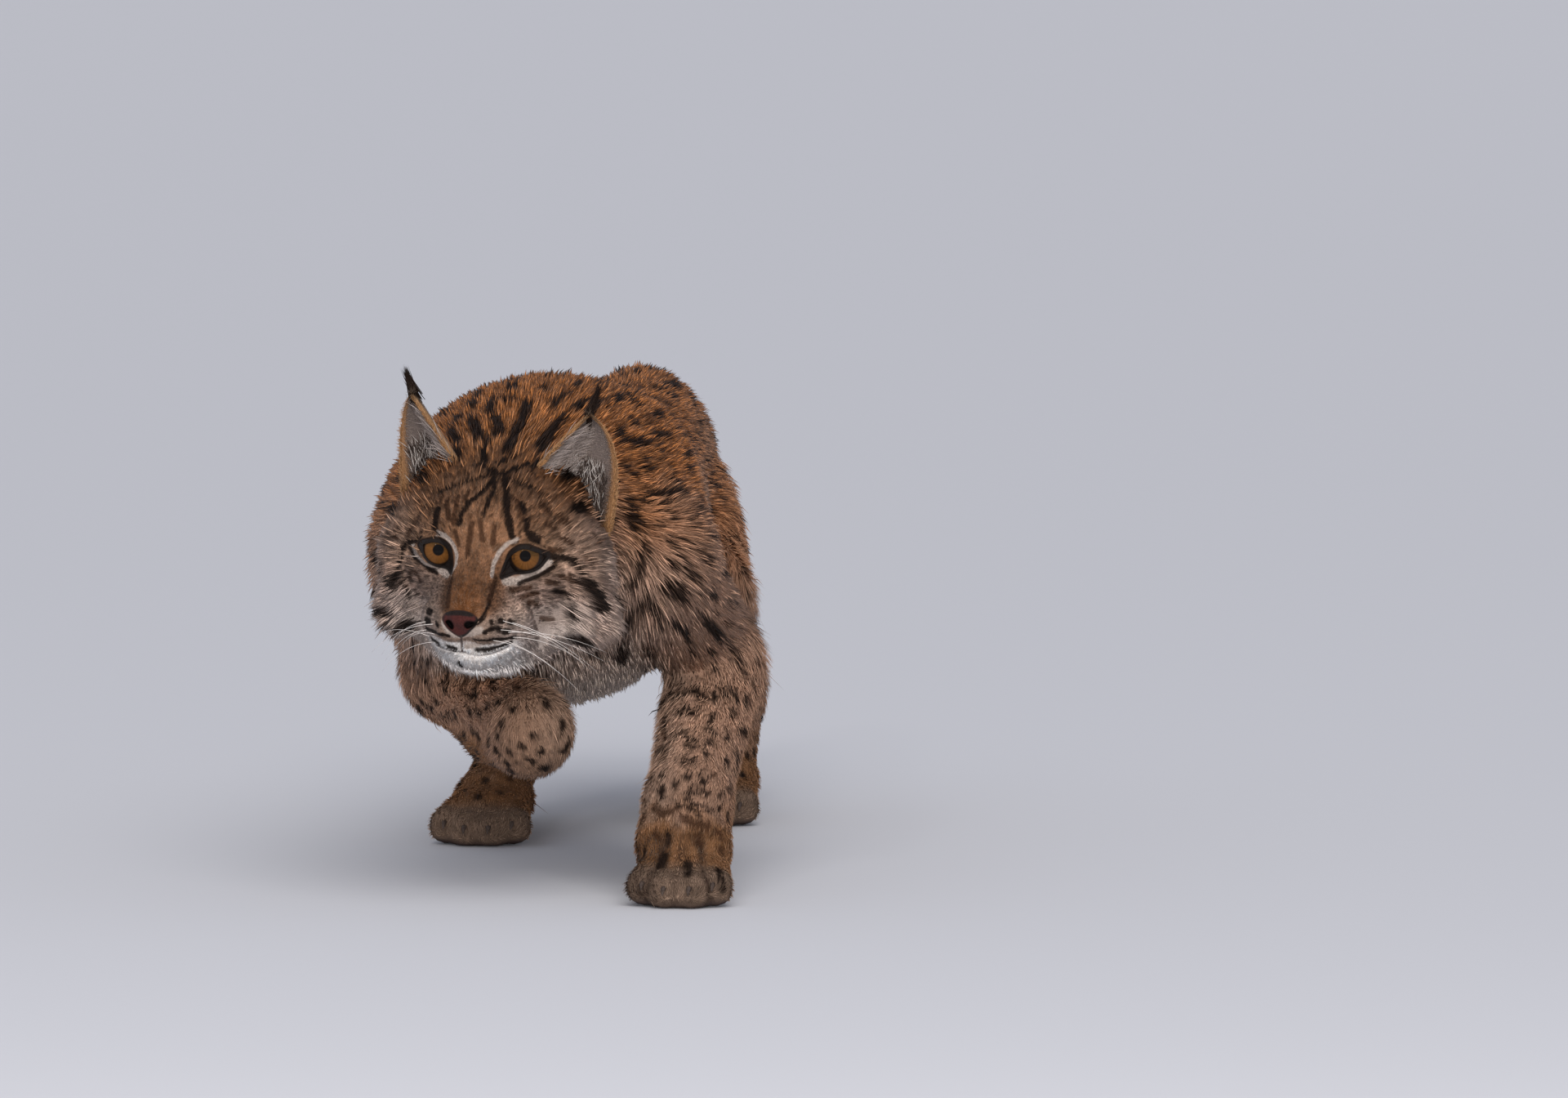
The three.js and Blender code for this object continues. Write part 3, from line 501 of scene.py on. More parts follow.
def nets(f, lo, step):
    n = f.shape
    s = f < 0
    corners = [(i, j, k) for i in (0, 1) for j in (0, 1) for k in (0, 1)]
    cnt = sum(s[i:n[0] - 1 + i, j:n[1] - 1 + j, k:n[2] - 1 + k].astype(int) for i, j, k in corners)
    act = (cnt > 0) & (cnt < 8)
    idx = -np.ones(act.shape, int)
    idx[act] = np.arange(act.sum())
    base = np.argwhere(act)
    acc, num = np.zeros((len(base), 3)), np.zeros(len(base))
    for a in corners:
        for axis in range(3):
            if a[axis]:
                continue
            b = list(a); b[axis] = 1
            fa = f[base[:, 0] + a[0], base[:, 1] + a[1], base[:, 2] + a[2]]
            fb = f[base[:, 0] + b[0], base[:, 1] + b[1], base[:, 2] + b[2]]
            m = (fa < 0) != (fb < 0)
            t = np.clip(np.where(m, fa / np.where(m, fa - fb, 1), 0), 0, 1)
            pt = base + np.array(a, float)
            pt[:, axis] += t
            acc[m] += pt[m]
            num[m] += 1
    v = lo + step * acc / num[:, None]
    quads = []
    for axis in range(3):
        o1, o2 = [(1, 2), (2, 0), (0, 1)][axis]
        a, b = [slice(None)] * 3, [slice(None)] * 3
        a[axis], b[axis] = slice(0, n[axis] - 1), slice(1, n[axis])
        e = np.argwhere(s[tuple(a)] != s[tuple(b)])
        e = e[(e[:, o1] > 0) & (e[:, o2] > 0) & (e[:, o1] < n[o1] - 1) & (e[:, o2] < n[o2] - 1)]

        def cell(d1, d2):
            c = e.copy()
            c[:, o1] -= d1
            c[:, o2] -= d2
            return idx[c[:, 0], c[:, 1], c[:, 2]]
        q = np.stack([cell(1, 1), cell(0, 1), cell(0, 0), cell(1, 0)], 1)
        m = s[e[:, 0], e[:, 1], e[:, 2]]
        q[~m] = q[~m][:, ::-1]
        quads.append(q)
    return v, np.concatenate(quads)


def settle(fn, v, it=2, h=0.4):
    for _ in range(it):
        d = fn(v)
        g = np.stack([fn(v + h * e) - fn(v - h * e) for e in np.eye(3)], 1) / (2 * h)
        step = g * (d / np.maximum((g**2).sum(1), 0.05))[:, None]
        n = np.linalg.norm(step, axis=1)
        v = v - step * np.minimum(1, 3.0 / np.maximum(n, 1e-9))[:, None]
    return v


def co_of(me):
    a = np.zeros(len(me.vertices) * 3, np.float32)
    me.vertices.foreach_get("co", a)
    return a.reshape(-1, 3).astype(float)


def normals_of(me):
    a = np.zeros(len(me.vertices) * 3, np.float32)
    me.vertex_normals.foreach_get("vector", a)
    return a.reshape(-1, 3).astype(float)


def finer(bm, pick):
    """Splits the faces that pick() takes into four."""
    c = np.array([f.calc_center_median()[:] for f in bm.faces])
    m = pick(c)
    bm.faces.ensure_lookup_table()
    edges = {e for f, x in zip(bm.faces, m) if x for e in f.edges}
    bmesh.ops.subdivide_edges(bm, edges=list(edges), cuts=1, use_grid_fill=True)


# ---------------------------------------------------------------- the face
EYE_R = SPEC["eye"]["r"]
EYES = {s: np.array([s * SPEC["eye"]["at"][0], SPEC["eye"]["at"][1], SPEC["eye"]["at"][2]], float) for s in (1, -1)}
GAZE = HEAD_R.T @ BACK            # in the head's frame: both eyes look at the viewer
ACROSS = HEAD_R.T @ RIGHT
UPWARD = np.cross(GAZE, ACROSS)

# Outline of the dark eye opening about the pupil, in mm across and up, for the left and the right eye.
OPENING = {
    1: [(-17.6, -16.0), (-15.2, -8.6), (-12.8, -2.3), (-9.2, 2.9), (-4.0, 6.5), (1.3, 6.7), (6.2, 5.0), (11.0, 2.9), (17.4, 1.0),
        (13.4, -3.6), (10.4, -7.4), (5.6, -10.3), (-0.8, -11.6), (-7.4, -11.6), (-12.0, -13.6)],
    -1: [(9.0, -17.4), (9.9, -9.8), (9.5, -3.0), (7.2, 2.4), (3.0, 6.0), (-2.2, 7.5), (-7.2, 6.6), (-13.4, 5.2),
         (-11.4, -0.6), (-9.2, -5.4), (-5.4, -9.2), (-0.6, -11.2), (4.2, -11.9), (7.0, -13.2)],
}


def smooth_loop(pts, n=3):
    p = np.array(pts, float)
    for _ in range(n):
        a, b = p, np.roll(p, -1, 0)
        p = np.stack([a * 0.75 + b * 0.25, a * 0.25 + b * 0.75], 1).reshape(-1, 2)
    return p


def loop_distance(x, y, pts):
    """Distance to a closed outline, negative inside."""
    d = np.full(len(x), 1e9)
    inside = np.zeros(len(x), bool)
    for a, b in zip(pts, np.roll(pts, -1, 0)):
        e = b - a
        t = np.clip(((x - a[0]) * e[0] + (y - a[1]) * e[1]) / (e @ e), 0, 1)
        d = np.minimum(d, np.hypot(x - a[0] - t * e[0], y - a[1] - t * e[1]))
        c = (a[1] > y) != (b[1] > y)
        inside ^= c & (x < a[0] + (y - a[1]) * e[0] / (e[1] if e[1] else 1e-9))
    return np.where(inside, -d, d)


LOOPS = {s: smooth_loop(OPENING[s]) for s in (1, -1)}


def eye_place(q, s):
    d = q - EYES[s]
    return d @ ACROSS, d @ UPWARD, d @ GAZE


def eye_edge(q, s):
    """Distance from the rim of the eye opening, negative inside; far away it is 99."""
    a, b, c = eye_place(q, s)
    out = np.full(len(q), 99.0)
    m = (np.hypot(a, b) < 34) & (c > -6)
    out[m] = loop_distance(a[m], b[m], LOOPS[s])
    return out


# The nose's leather and what is drawn on the muzzle, as places in the view.
NOSE = smooth_loop([(540.5, 757), (544, 751), (551, 747.5), (561, 746.5), (571, 747.5), (579, 751), (586, 757),
                    (584, 765), (577, 772), (571, 778), (564, 781), (557, 777), (550, 772), (544, 765)], 2)
NOSTRILS = [[(544.5, 760.5), (549, 758), (554, 761), (556, 767), (554.5, 771), (551, 769.5), (547.5, 765.5)],
            [(567, 765), (570, 760.5), (576, 760), (583, 761.5), (587, 759), (583, 765), (577, 768.5), (571, 770.5)]]
NOSTRILS = [smooth_loop(n, 2) for n in NOSTRILS]
PHILTRUM = [(564.5, 779), (565.5, 788), (566.5, 796.5)]
MOUTH = [(535, 789), (541, 792), (548, 794.5), (557, 796), (566.5, 797), (577, 800), (588, 801), (600, 799.5), (611, 796), (622, 791)]
WING = [(585, 761), (592, 756), (597, 748), (600, 740), (599, 734)]


def line_distance(x, y, pts):
    d = np.full(len(x), 1e9)
    for a, b in zip(pts[:-1], pts[1:]):
        ex, ey = b[0] - a[0], b[1] - a[1]
        t = np.clip(((x - a[0]) * ex + (y - a[1]) * ey) / (ex * ex + ey * ey), 0, 1)
        d = np.minimum(d, np.hypot(x - a[0] - t * ex, y - a[1] - t * ey))
    return d


PXMM = CAM["F"] / CAM["D"]


def face_front(q):
    return (q[:, 1] < 26) & (np.abs(q[:, 0]) < 60)


def sculpt(p):
    """Lids over the eyeballs, nostrils, philtrum and the line of the mouth, on points of the skin."""
    q = to_head(p)
    m = np.where((q[:, 1] < 45) & (np.abs(q[:, 0]) < 75) & (q[:, 2] > -90) & (q[:, 2] < 50))[0]
    r = q[m]
    for s in (1, -1):
        a, b, c0 = eye_place(r, s)
        rho = np.hypot(a, b)
        k = np.where((rho < 30) & (c0 > -8))[0]
        a, b, c0, rho = a[k], b[k], c0[k], rho[k]
        e = loop_distance(a, b, LOOPS[s])
        R0 = 0.9 * EYE_R
        ball = np.where(rho < R0, np.sqrt(np.maximum(EYE_R**2 - rho**2, 0)), EYE_R * 0.436 - 2.06 * (rho - R0))
        wet = e + 1.1 + 1.3 * ss(-2.0, 4.0, b)
        inner = np.minimum(c0, np.maximum(ball - 2.4, c0 - 1.6))
        lid = ball + 1.25 + 0.10 * np.maximum(wet, 0)
        crease = 0.55 * np.exp(-((e - 3.6) / 0.9) ** 2) * ss(-2, 4, b)      # the fold of the upper lid
        outer = lid * (1 - ss(2.0, 9.5, e)) + c0 * ss(2.0, 9.5, e)
        outer = np.maximum(outer, c0) - crease
        t = ss(-0.55, 0.35, wet)
        c = inner * (1 - t) + outer * t
        r[k] += np.outer(c - c0, GAZE)
    P = from_head(r)
    x, y = pix(P)
    front = ss(12, -4, r[:, 1]) * (r[:, 2] < 0)
    nose = loop_distance(x, y, NOSE) / PXMM
    inwards = np.zeros(len(r))
    inwards -= 0.9 * ss(0.9, -0.9, nose) * front
    inwards += 0.5 * np.exp(-(nose / 0.55) ** 2) * front
    for n in NOSTRILS:
        d = loop_distance(x, y, n) / PXMM
        inwards += 4.6 * ss(0.5, -1.9, d) * front
        inwards -= 0.5 * np.exp(-((d - 1.0) / 0.9) ** 2) * ss(0.9, -0.9, nose) * front
    inwards += 0.9 * np.exp(-(line_distance(x, y, PHILTRUM) / PXMM / 0.75) ** 2) * front
    inwards += 1.2 * np.exp(-(line_distance(x, y, MOUTH) / PXMM / 1.0) ** 2) * ss(25, 10, r[:, 1]) * (r[:, 2] < -30)
    inwards += 0.7 * np.exp(-(line_distance(x, y, WING) / PXMM / 1.2) ** 2) * front
    r -= np.outer(inwards, GAZE)
    q[m] = r
    return from_head(q)


# ---------------------------------------------------------------- markings
# Lines and spots of the coat, traced in the view: kind (k black, b brown-black, w white), width in pixels, places.
MARKS = [
    # nape and back
    ("k", 13, [(664, 465), (667, 468)]), ("k", 8, [(680, 484), (682, 490)]), ("k", 8, [(602, 478), (626, 480), (645, 484)]),
    ("k", 12, [(647, 482), (642, 503), (631, 526), (621, 545)]), ("k", 13, [(694, 502), (678, 521), (662, 545)]),
    ("k", 14, [(576, 506), (582, 520), (586, 530)]), ("k", 10, [(706, 492), (722, 483), (738, 479)]), ("k", 11, [(736, 482), (728, 494), (722, 506)]),
    ("k", 7, [(748, 486), (752, 490)]), ("b", 9, [(752, 458), (760, 462)]), ("k", 10, [(785, 462), (774, 472), (778, 482), (790, 488)]),
    ("k", 10, [(764, 516), (768, 534)]), ("k", 9, [(779, 505), (786, 514)]), ("k", 14, [(829, 492), (836, 508), (844, 528)]),
    ("b", 9, [(812, 462), (822, 474)]), ("b", 8, [(800, 500), (806, 516)]), ("k", 9, [(770, 563), (780, 572), (790, 580)]),
    ("k", 8, [(754, 577), (764, 588)]), ("k", 9, [(795, 556), (804, 568)]), ("k", 8, [(814, 541), (820, 552)]), ("k", 9, [(829, 570), (836, 582), (843, 594)]),
    ("k", 14, [(784, 610), (787, 628), (788, 646)]), ("k", 8, [(804, 596), (800, 606)]), ("k", 9, [(821, 604), (828, 618), (833, 628)]),
    ("k", 10, [(852, 622), (860, 634), (865, 644)]), ("k", 11, [(890, 604), (895, 614)]), ("b", 9, [(868, 566), (874, 580)]),
    ("b", 9, [(878, 628), (882, 642)]), ("k", 8, [(829, 656), (836, 672)]), ("k", 7, [(850, 660), (856, 672)]),
    ("k", 9, [(796, 672), (789, 690), (785, 708), (775, 727)]), ("k", 12, [(890, 657), (893, 667)]), ("k", 11, [(897, 700), (901, 706)]),
    ("k", 9, [(829, 695), (836, 697)]), ("k", 11, [(853, 707), (861, 712)]), ("k", 8, [(870, 672), (873, 680)]), ("k", 8, [(842, 683), (850, 690)]),
    ("k", 15, [(819, 731), (832, 729), (842, 728)]), ("k", 9, [(876, 731), (886, 736)]), ("k", 9, [(901, 738), (904, 746)]),
    ("k", 12, [(762, 776), (778, 758), (802, 747)]), ("k", 11, [(808, 778), (826, 770), (842, 779), (850, 789)]), ("k", 13, [(870, 764), (882, 776), (892, 788)]),
    ("k", 8, [(907, 786), (911, 792)]), ("k", 11, [(738, 813), (754, 805), (768, 792)]), ("b", 8, [(790, 800), (800, 806)]),
    # left shoulder, foreleg
    ("k", 11, [(796, 889), (799, 868), (811, 851), (828, 842), (849, 837), (861, 846)]), ("k", 11, [(828, 868), (843, 864), (852, 865)]),
    ("k", 12, [(893, 842), (911, 852)]), ("k", 8, [(916, 820), (921, 827)]), ("k", 8, [(931, 842), (932, 849)]), ("k", 8, [(933, 874), (934, 881)]),
    ("k", 7, [(819, 898), (837, 893), (852, 898)]), ("k", 11, [(873, 888), (880, 892)]), ("k", 11, [(894, 900), (900, 903)]), ("k", 9, [(912, 896), (920, 900)]),
    ("k", 7, [(928, 904), (930, 909)]), ("k", 7, [(800, 918), (811, 912)]), ("k", 9, [(840, 907), (852, 909)]), ("k", 11, [(867, 917), (869, 920)]),
    ("k", 9, [(834, 930), (848, 926)]), ("k", 9, [(907, 923), (909, 931)]), ("k", 5, [(791, 954), (796, 952)]), ("k", 7, [(804, 949), (809, 946)]),
    ("k", 8, [(825, 957), (826, 962)]), ("k", 10, [(840, 947), (843, 950)]), ("k", 10, [(860, 950), (865, 955)]), ("b", 6, [(875, 946), (880, 946)]),
    ("k", 6, [(840, 966), (852, 968)]), ("k", 6, [(860, 967), (869, 970)]), ("k", 4, [(834, 974), (849, 980), (863, 986), (875, 992)]),
    ("k", 4, [(828, 983), (843, 986), (858, 995)]), ("k", 7, [(885, 974), (889, 972)]), ("k", 6, [(897, 966), (901, 963)]), ("k", 6, [(883, 990), (886, 986)]),
    ("b", 11, [(799, 986), (811, 996), (825, 988)]), ("b", 11, [(836, 1000), (852, 1008), (868, 1010)]), ("b", 7, [(784, 984), (788, 980)]), ("b", 8, [(880, 1018), (888, 1026)]),
    ("k", 9, [(813, 1042), (808, 1058)]), ("k", 10, [(843, 1052), (841, 1070)]), ("k", 9, [(882, 1060), (884, 1088)]), ("k", 6, [(787, 1038), (781, 1052)]), ("b", 6, [(800, 1018), (806, 1028)]),
    # forehead and crown
    ("k", 8, [(591, 541), (592, 561)]), ("k", 6, [(612, 572), (600, 577), (584, 580), (565, 586), (548, 592), (534, 598)]), ("k", 5, [(602, 570), (588, 564), (574, 566)]),
    ("k", 6, [(606, 580), (597, 592), (586, 602), (574, 612), (566, 624), (561, 640)]), ("k", 5, [(608, 582), (604, 598), (598, 612), (592, 628)]), ("k", 9, [(600, 570), (610, 573), (618, 574)]),
    ("k", 8, [(618, 582), (622, 600), (621, 620), (625, 644), (628, 656)]), ("k", 6, [(618, 576), (634, 568), (652, 560)]), ("k", 5, [(622, 580), (640, 586), (656, 592)]),
    ("k", 5, [(606, 562), (618, 556), (632, 552)]), ("b", 6, [(560, 604), (556, 622), (554, 640)]), ("b", 5, [(574, 596), (568, 610)]), ("b", 6, [(545, 610), (548, 634)]),
    ("b", 5, [(588, 636), (590, 660)]), ("b", 5, [(606, 644), (604, 664)]), ("k", 10, [(534, 620), (532, 632), (530, 644)]), ("b", 6, [(577, 640), (574, 660), (572, 676)]),
    ("k", 9, [(647, 636), (646, 648), (652, 656), (660, 660)]), ("k", 6, [(640, 612), (644, 626)]), ("b", 7, [(522, 602), (512, 620), (503, 636), (495, 652)]), ("b", 6, [(672, 640), (684, 646)]),
    ("b", 6, [(632, 606), (638, 620), (640, 634)]), ("b", 5, [(540, 604), (532, 612)]), ("b", 5, [(690, 655), (704, 664)]), ("b", 6, [(664, 612), (676, 622)]), ("b", 6, [(690, 628), (702, 640)]),
    ("b", 5, [(676, 672), (690, 672)]), ("b", 5, [(718, 676), (728, 690)]), ("b", 5, [(556, 650), (560, 666)]), ("b", 5, [(484, 640), (478, 656)]), ("b", 5, [(728, 652), (738, 664)]),
    ("b", 5, [(660, 596), (672, 604)]), ("b", 5, [(648, 572), (660, 580)]), ("b", 5, [(560, 572), (572, 574)]),
    # cheeks
    ("k", 7, [(660, 679), (674, 680), (690, 682), (707, 686), (717, 699), (722, 710)]), ("k", 11, [(722, 713), (732, 727), (742, 738)]), ("k", 16, [(742, 741), (747, 745)]),
    ("k", 6, [(682, 725), (694, 730), (705, 738)]), ("k", 9, [(706, 755), (709, 759)]), ("k", 17, [(712, 789), (719, 796)]), ("b", 7, [(700, 706), (708, 716)]),
    ("k", 7, [(515, 660), (500, 661), (489, 667), (486, 680), (482, 695)]), ("k", 10, [(481, 700), (475, 712), (471, 722)]), ("k", 12, [(484, 777), (495, 769)]),
    ("b", 7, [(462, 752), (470, 757)]), ("b", 6, [(491, 720), (493, 737)]), ("b", 5, [(672, 712), (686, 716)]), ("b", 5, [(500, 700), (498, 712)]),
    # about the left eye
    ("w", 5, [(604, 704), (606, 690), (613, 676), (623, 666), (634, 661)]),
    ("w", 9, [(620, 710), (634, 711), (650, 706), (662, 697), (674, 687)]), ("k", 4.5, [(637, 714), (652, 709), (666, 702), (682, 692)]),
    ("k", 6, [(664, 678), (680, 681), (698, 683), (709, 691), (717, 703)]), ("k", 9, [(722, 717), (734, 728), (744, 738)]), ("k", 15, [(740, 746), (748, 745)]),
    ("b", 9, [(609, 708), (605, 722), (601, 736)]), ("b", 6, [(628, 722), (650, 720)]), ("b", 5, [(640, 730), (660, 728)]), ("b", 5, [(688, 706), (700, 712)]),
    # about the right eye
    ("w", 5, [(550, 704), (556, 692), (557, 678), (552, 666), (544, 657), (534, 652)]), ("w", 8, [(502, 667), (511, 680), (524, 690), (538, 697), (546, 702)]),
    ("k", 4.5, [(498, 669), (506, 683), (518, 693), (532, 701)]), ("k", 6, [(516, 660), (502, 660), (491, 664), (486, 676), (484, 690)]), ("k", 9, [(482, 700), (476, 712)]),
    ("k", 14, [(471, 716), (472, 722)]), ("b", 9, [(551, 708), (548, 722), (546, 740)]),
    # muzzle and cheeks
    ("k", 4.5, [(603, 761), (604, 763)]), ("k", 5.5, [(614, 760), (617, 760)]), ("k", 6.5, [(626, 761), (629, 762)]), ("k", 5, [(594, 775), (603, 770), (608, 769)]),
    ("k", 6, [(611, 770), (614, 771)]), ("k", 7, [(619, 774), (624, 774)]), ("k", 4.5, [(580, 785), (592, 786), (604, 784), (618, 784), (632, 781)]),
    ("k", 5, [(584, 797), (600, 797), (614, 793), (626, 788)]), ("k", 7, [(522, 747), (526, 748)]), ("k", 7, [(519, 760), (524, 761)]), ("k", 5, [(532, 762), (534, 766)]),
    ("k", 4.5, [(520, 770), (534, 776), (548, 780)]), ("k", 7, [(528, 784), (534, 789)]), ("k", 5, [(546, 793), (556, 796)]),
    ("k", 4, [(585, 764), (592, 757), (597, 748), (600, 740)]), ("k", 8, [(704, 757), (709, 758)]), ("k", 5, [(693, 727), (704, 736)]),
    ("k", 19, [(715, 791), (719, 795)]), ("b", 5, [(650, 738), (662, 742)]), ("b", 5, [(666, 757), (680, 760)]), ("b", 5, [(672, 712), (684, 716)]),
    ("k", 13, [(488, 772), (494, 768)]), ("k", 7, [(456, 746), (470, 757)]), ("k", 6, [(492, 728), (494, 738)]), ("b", 5, [(462, 690), (460, 704)]),
    ("b", 5, [(505, 700), (512, 712)]), ("w", 7, [(564, 781), (576, 777), (588, 772)]), ("w", 6, [(541, 762), (547, 773), (557, 780)]),
    ("w", 5, [(570, 793), (585, 791), (602, 790)]),
]
# Round spots of the lifted right forearm.
MARKS += [("k", w, [(x, y), (x + 1.5, y + 2)]) for x, y, w in (
    (513, 840, 10), (537, 839, 10), (573, 847, 12), (599, 834, 9), (513, 863, 9), (545, 879, 10), (569, 871, 9), (608, 887, 9), (604, 902, 8),
    (581, 903, 8), (546, 902, 7), (562, 902, 7), (604, 922, 8), (621, 924, 7), (637, 914, 8), (654, 903, 8), (663, 923, 8), (617, 938, 7),
    (643, 932, 7), (652, 936, 6), (579, 923, 8), (519, 813, 12), (500, 800, 9), (478, 806, 9), (482, 830, 8), (497, 862, 8), (514, 880, 8),
    (530, 900, 7), (470, 770, 8), (545, 822, 8), (562, 815, 7), (590, 862, 8), (624, 866, 7), (528, 862, 7))]
# Sides that the view doesn't show get spots of the same kind, spread at random.
SPOT_GAP = dict(trunk=25.0, leg=19.0, tail=26.0, head=24.0)


def hashed(i):
    i = (i ^ (i >> 13)) * 1274126177
    return ((i ^ (i >> 16)) & 0xFFFFFF) / float(0xFFFFFF)


def noise(p, size, seed=0):
    """Smooth noise, 0 to 1, in cells of this size."""
    g = p / size + 1000.0
    i = np.floor(g).astype(np.int64)
    t = g - i
    t = t * t * (3 - 2 * t)
    out = 0
    for a in (0, 1):
        for b in (0, 1):
            for c in (0, 1):
                h = hashed((i[:, 0] + a) * 374761393 + (i[:, 1] + b) * 668265263 + (i[:, 2] + c) * 2147483647 + seed * 9176)
                w = (t[:, 0] if a else 1 - t[:, 0]) * (t[:, 1] if b else 1 - t[:, 1]) * (t[:, 2] if c else 1 - t[:, 2])
                out = out + h * w
    return out


class Near:
    """Finds which of many points lie near a place."""
    def __init__(self, p, cell=14.0):
        self.cell = cell
        k = np.floor(p / cell).astype(int)
        self.lo = k.min(0)
        self.n = k.max(0) - self.lo + 1
        k -= self.lo
        code = (k[:, 0] * self.n[1] + k[:, 1]) * self.n[2] + k[:, 2]
        self.order = np.argsort(code, kind="stable")
        self.code = code[self.order]

    def about(self, lo, hi):
        a = np.maximum(np.floor(lo / self.cell).astype(int) - self.lo, 0)
        b = np.minimum(np.floor(hi / self.cell).astype(int) - self.lo, self.n - 1)
        if np.any(b < a):
            return np.zeros(0, int)
        out = []
        for i in range(a[0], b[0] + 1):
            for j in range(a[1], b[1] + 1):
                c = (i * self.n[1] + j) * self.n[2]
                s, e = np.searchsorted(self.code, [c + a[2], c + b[2] + 1])
                out.append(self.order[s:e])
        return np.concatenate(out)


def tone_head(q):
    x, y, z = np.abs(q[:, 0]), q[:, 1], q[:, 2]
    c = np.tile(np.array(FOREHEAD), (len(q), 1))
    c = mixc(c, (0.330, 0.190, 0.115), ss(14, 34, x) * ss(24, 0, z) * 0.75)
    c = mixc(c, CHEEK, ss(-4, -26, z) * ss(12, 30, x))
    c = mixc(c, (0.300, 0.130, 0.052), ss(30, 62, y) * ss(10, 34, z) * 0.8)
    c = mixc(c, BRIDGE, np.exp(-(x / 17) ** 2) * ss(8, -14, z) * ss(20, 0, y) * ss(-36, -24, z))
    c = mixc(c, (0.150, 0.070, 0.036), np.exp(-((x - 19) / 5.0) ** 2) * ss(14, 0, y) * ss(-34, -26, z) * ss(-8, -16, z) * 0.7)
    pad = ss(-26, -34, z) * ss(14, 0, y)
    c = mixc(c, (0.380, 0.262, 0.200), pad)
    c = mixc(c, (0.240, 0.165, 0.130), np.exp(-((z + 20) / 7) ** 2) * ss(18, 26, x) * ss(46, 36, x) * ss(25, 12, y) * 0.7)
    c = mixc(c, GREY_PINK, ss(40, 62, x) * ss(30, 0, z) * 0.8)
    c = mixc(c, (0.46, 0.36, 0.31), ss(-28, -46, z) * ss(14, 32, x) * ss(84, 62, x))
    c = mixc(c, (0.52, 0.43, 0.38), ss(-49, -63, z) * ss(14, 32, x) * ss(72, 54, x))
    c = mixc(c, (0.60, 0.48, 0.41), ss(70, 86, x) * ss(5, -25, z))
    c = mixc(c, WHITE, ss(-48, -55, z) * ss(44, 28, y) * ss(38, 24, x))
    # painted shade: the throat under the jaw is painted greyer and darker than the white chin
    c = mixc(c, (0.42, 0.34, 0.30), ss(34, 58, y) * ss(-66, -80, z) * ss(44, 26, x))
    mottle = (noise(q, 3.4, 61) - 0.5) * 0.9 + (noise(q, 8.0, 62) - 0.5) * 0.6
    return c * (1 + mottle * (0.35 + 0.65 * ss(-46, -36, z)))[:, None]


def tone(p, n, D, w=None):
    """Ground colour of the coat, before its marks."""
    w = w or shares(D, 9.0)
    big = noise(p, 60, 3) - 0.5
    up = n[:, 2] + 0.25 * big
    t = mixc(FLANK, RUFOUS, ss(0.05, 0.62, up) * (1 - 0.15 * ss(300, 500, p[:, 1])))
    t = mixc(t, GREY_PINK, ss(20, 130, p[:, 1]) * ss(0.35, -0.1, up) * 0.35)
    t = mixc(t, FLANK_LOW, ss(0.0, -0.55, up))
    t = mixc(t, (0.60, 0.50, 0.43), ss(-0.45, -0.9, up))
    t = mixc(t, (0.46, 0.36, 0.31), ss(-60, -110, p[:, 1]) * ss(250, 200, p[:, 2]) * 0.8)
    out = t * w["trunk"][:, None] + tone_head(to_head(p)) * w["head"][:, None]
    tail = mixc(RUFOUS, FLANK, ss(0.2, -0.5, n[:, 2]))
    out = out + mixc(tail, BLACK, ss(668, 680, p[:, 1] + 10 * big)) * w["tail"][:, None]
    for s in LEGS:
        side = 1 if "left" in s else -1
        c = np.tile(np.array(LEG), (len(p), 1))
        c = mixc(c, FLANK_LOW, ss(0.2, -0.7, n[:, 0] * side) * 0.8)
        if s.startswith("hind"):
            c = mixc(c, t, ss(120, 200, p[:, 2]) * ss(-0.6, -0.1, n[:, 0] * side) * 0.45)
        if s == "foreleg_right":
            paw = ss(-92, -60, p[:, 1]) * ss(112, 98, p[:, 2])
            c = mixc(c, (0.250, 0.150, 0.095), ss(-40, 0, p[:, 0]) * ss(-60, -90, p[:, 1]) * 0.6)
            c = mixc(c, PAW, paw)
        else:
            c = mixc(c, PAW, ss(70, 42, p[:, 2] + 26 * (noise(p, 11, 12) - 0.5)))
            tip = PAWS[s]["to"][1]
            c = mixc(c, TOE, ss(tip + 20, tip + 4, p[:, 1] + 10 * (noise(p, 9, 13) - 0.5)) * ss(36, 22, p[:, 2]))
            c = c * ((0.72 + 0.56 * noise(p, 4.5, 14)) * (1 - 0.3 * ss(120, 50, p[:, 2])))[:, None]
            c = mixc(c, (0.09, 0.05, 0.035), ss(0.3, 0.8, n[:, 1]) * ss(80, 50, p[:, 2]) * 0.75)
            # painted shade in the clefts between the toes, darkening the coat where two toes meet
            td = np.sort(np.stack([limb(p, t) for t in toes(PAWS[s])], 1), 1)
            toe_cleft_shade = np.exp(-((td[:, 1] - td[:, 0]) / 2.6) ** 2) * ss(20, 9, td[:, 0]) * ss(2, 6, td[:, 2] - td[:, 1] + 3)
            c = mixc(c, (0.035, 0.020, 0.015), toe_cleft_shade * 0.9)
        out = out + c * w[s][:, None]
    return out * (0.90 + 0.22 * noise(p, 17, 5))[:, None]


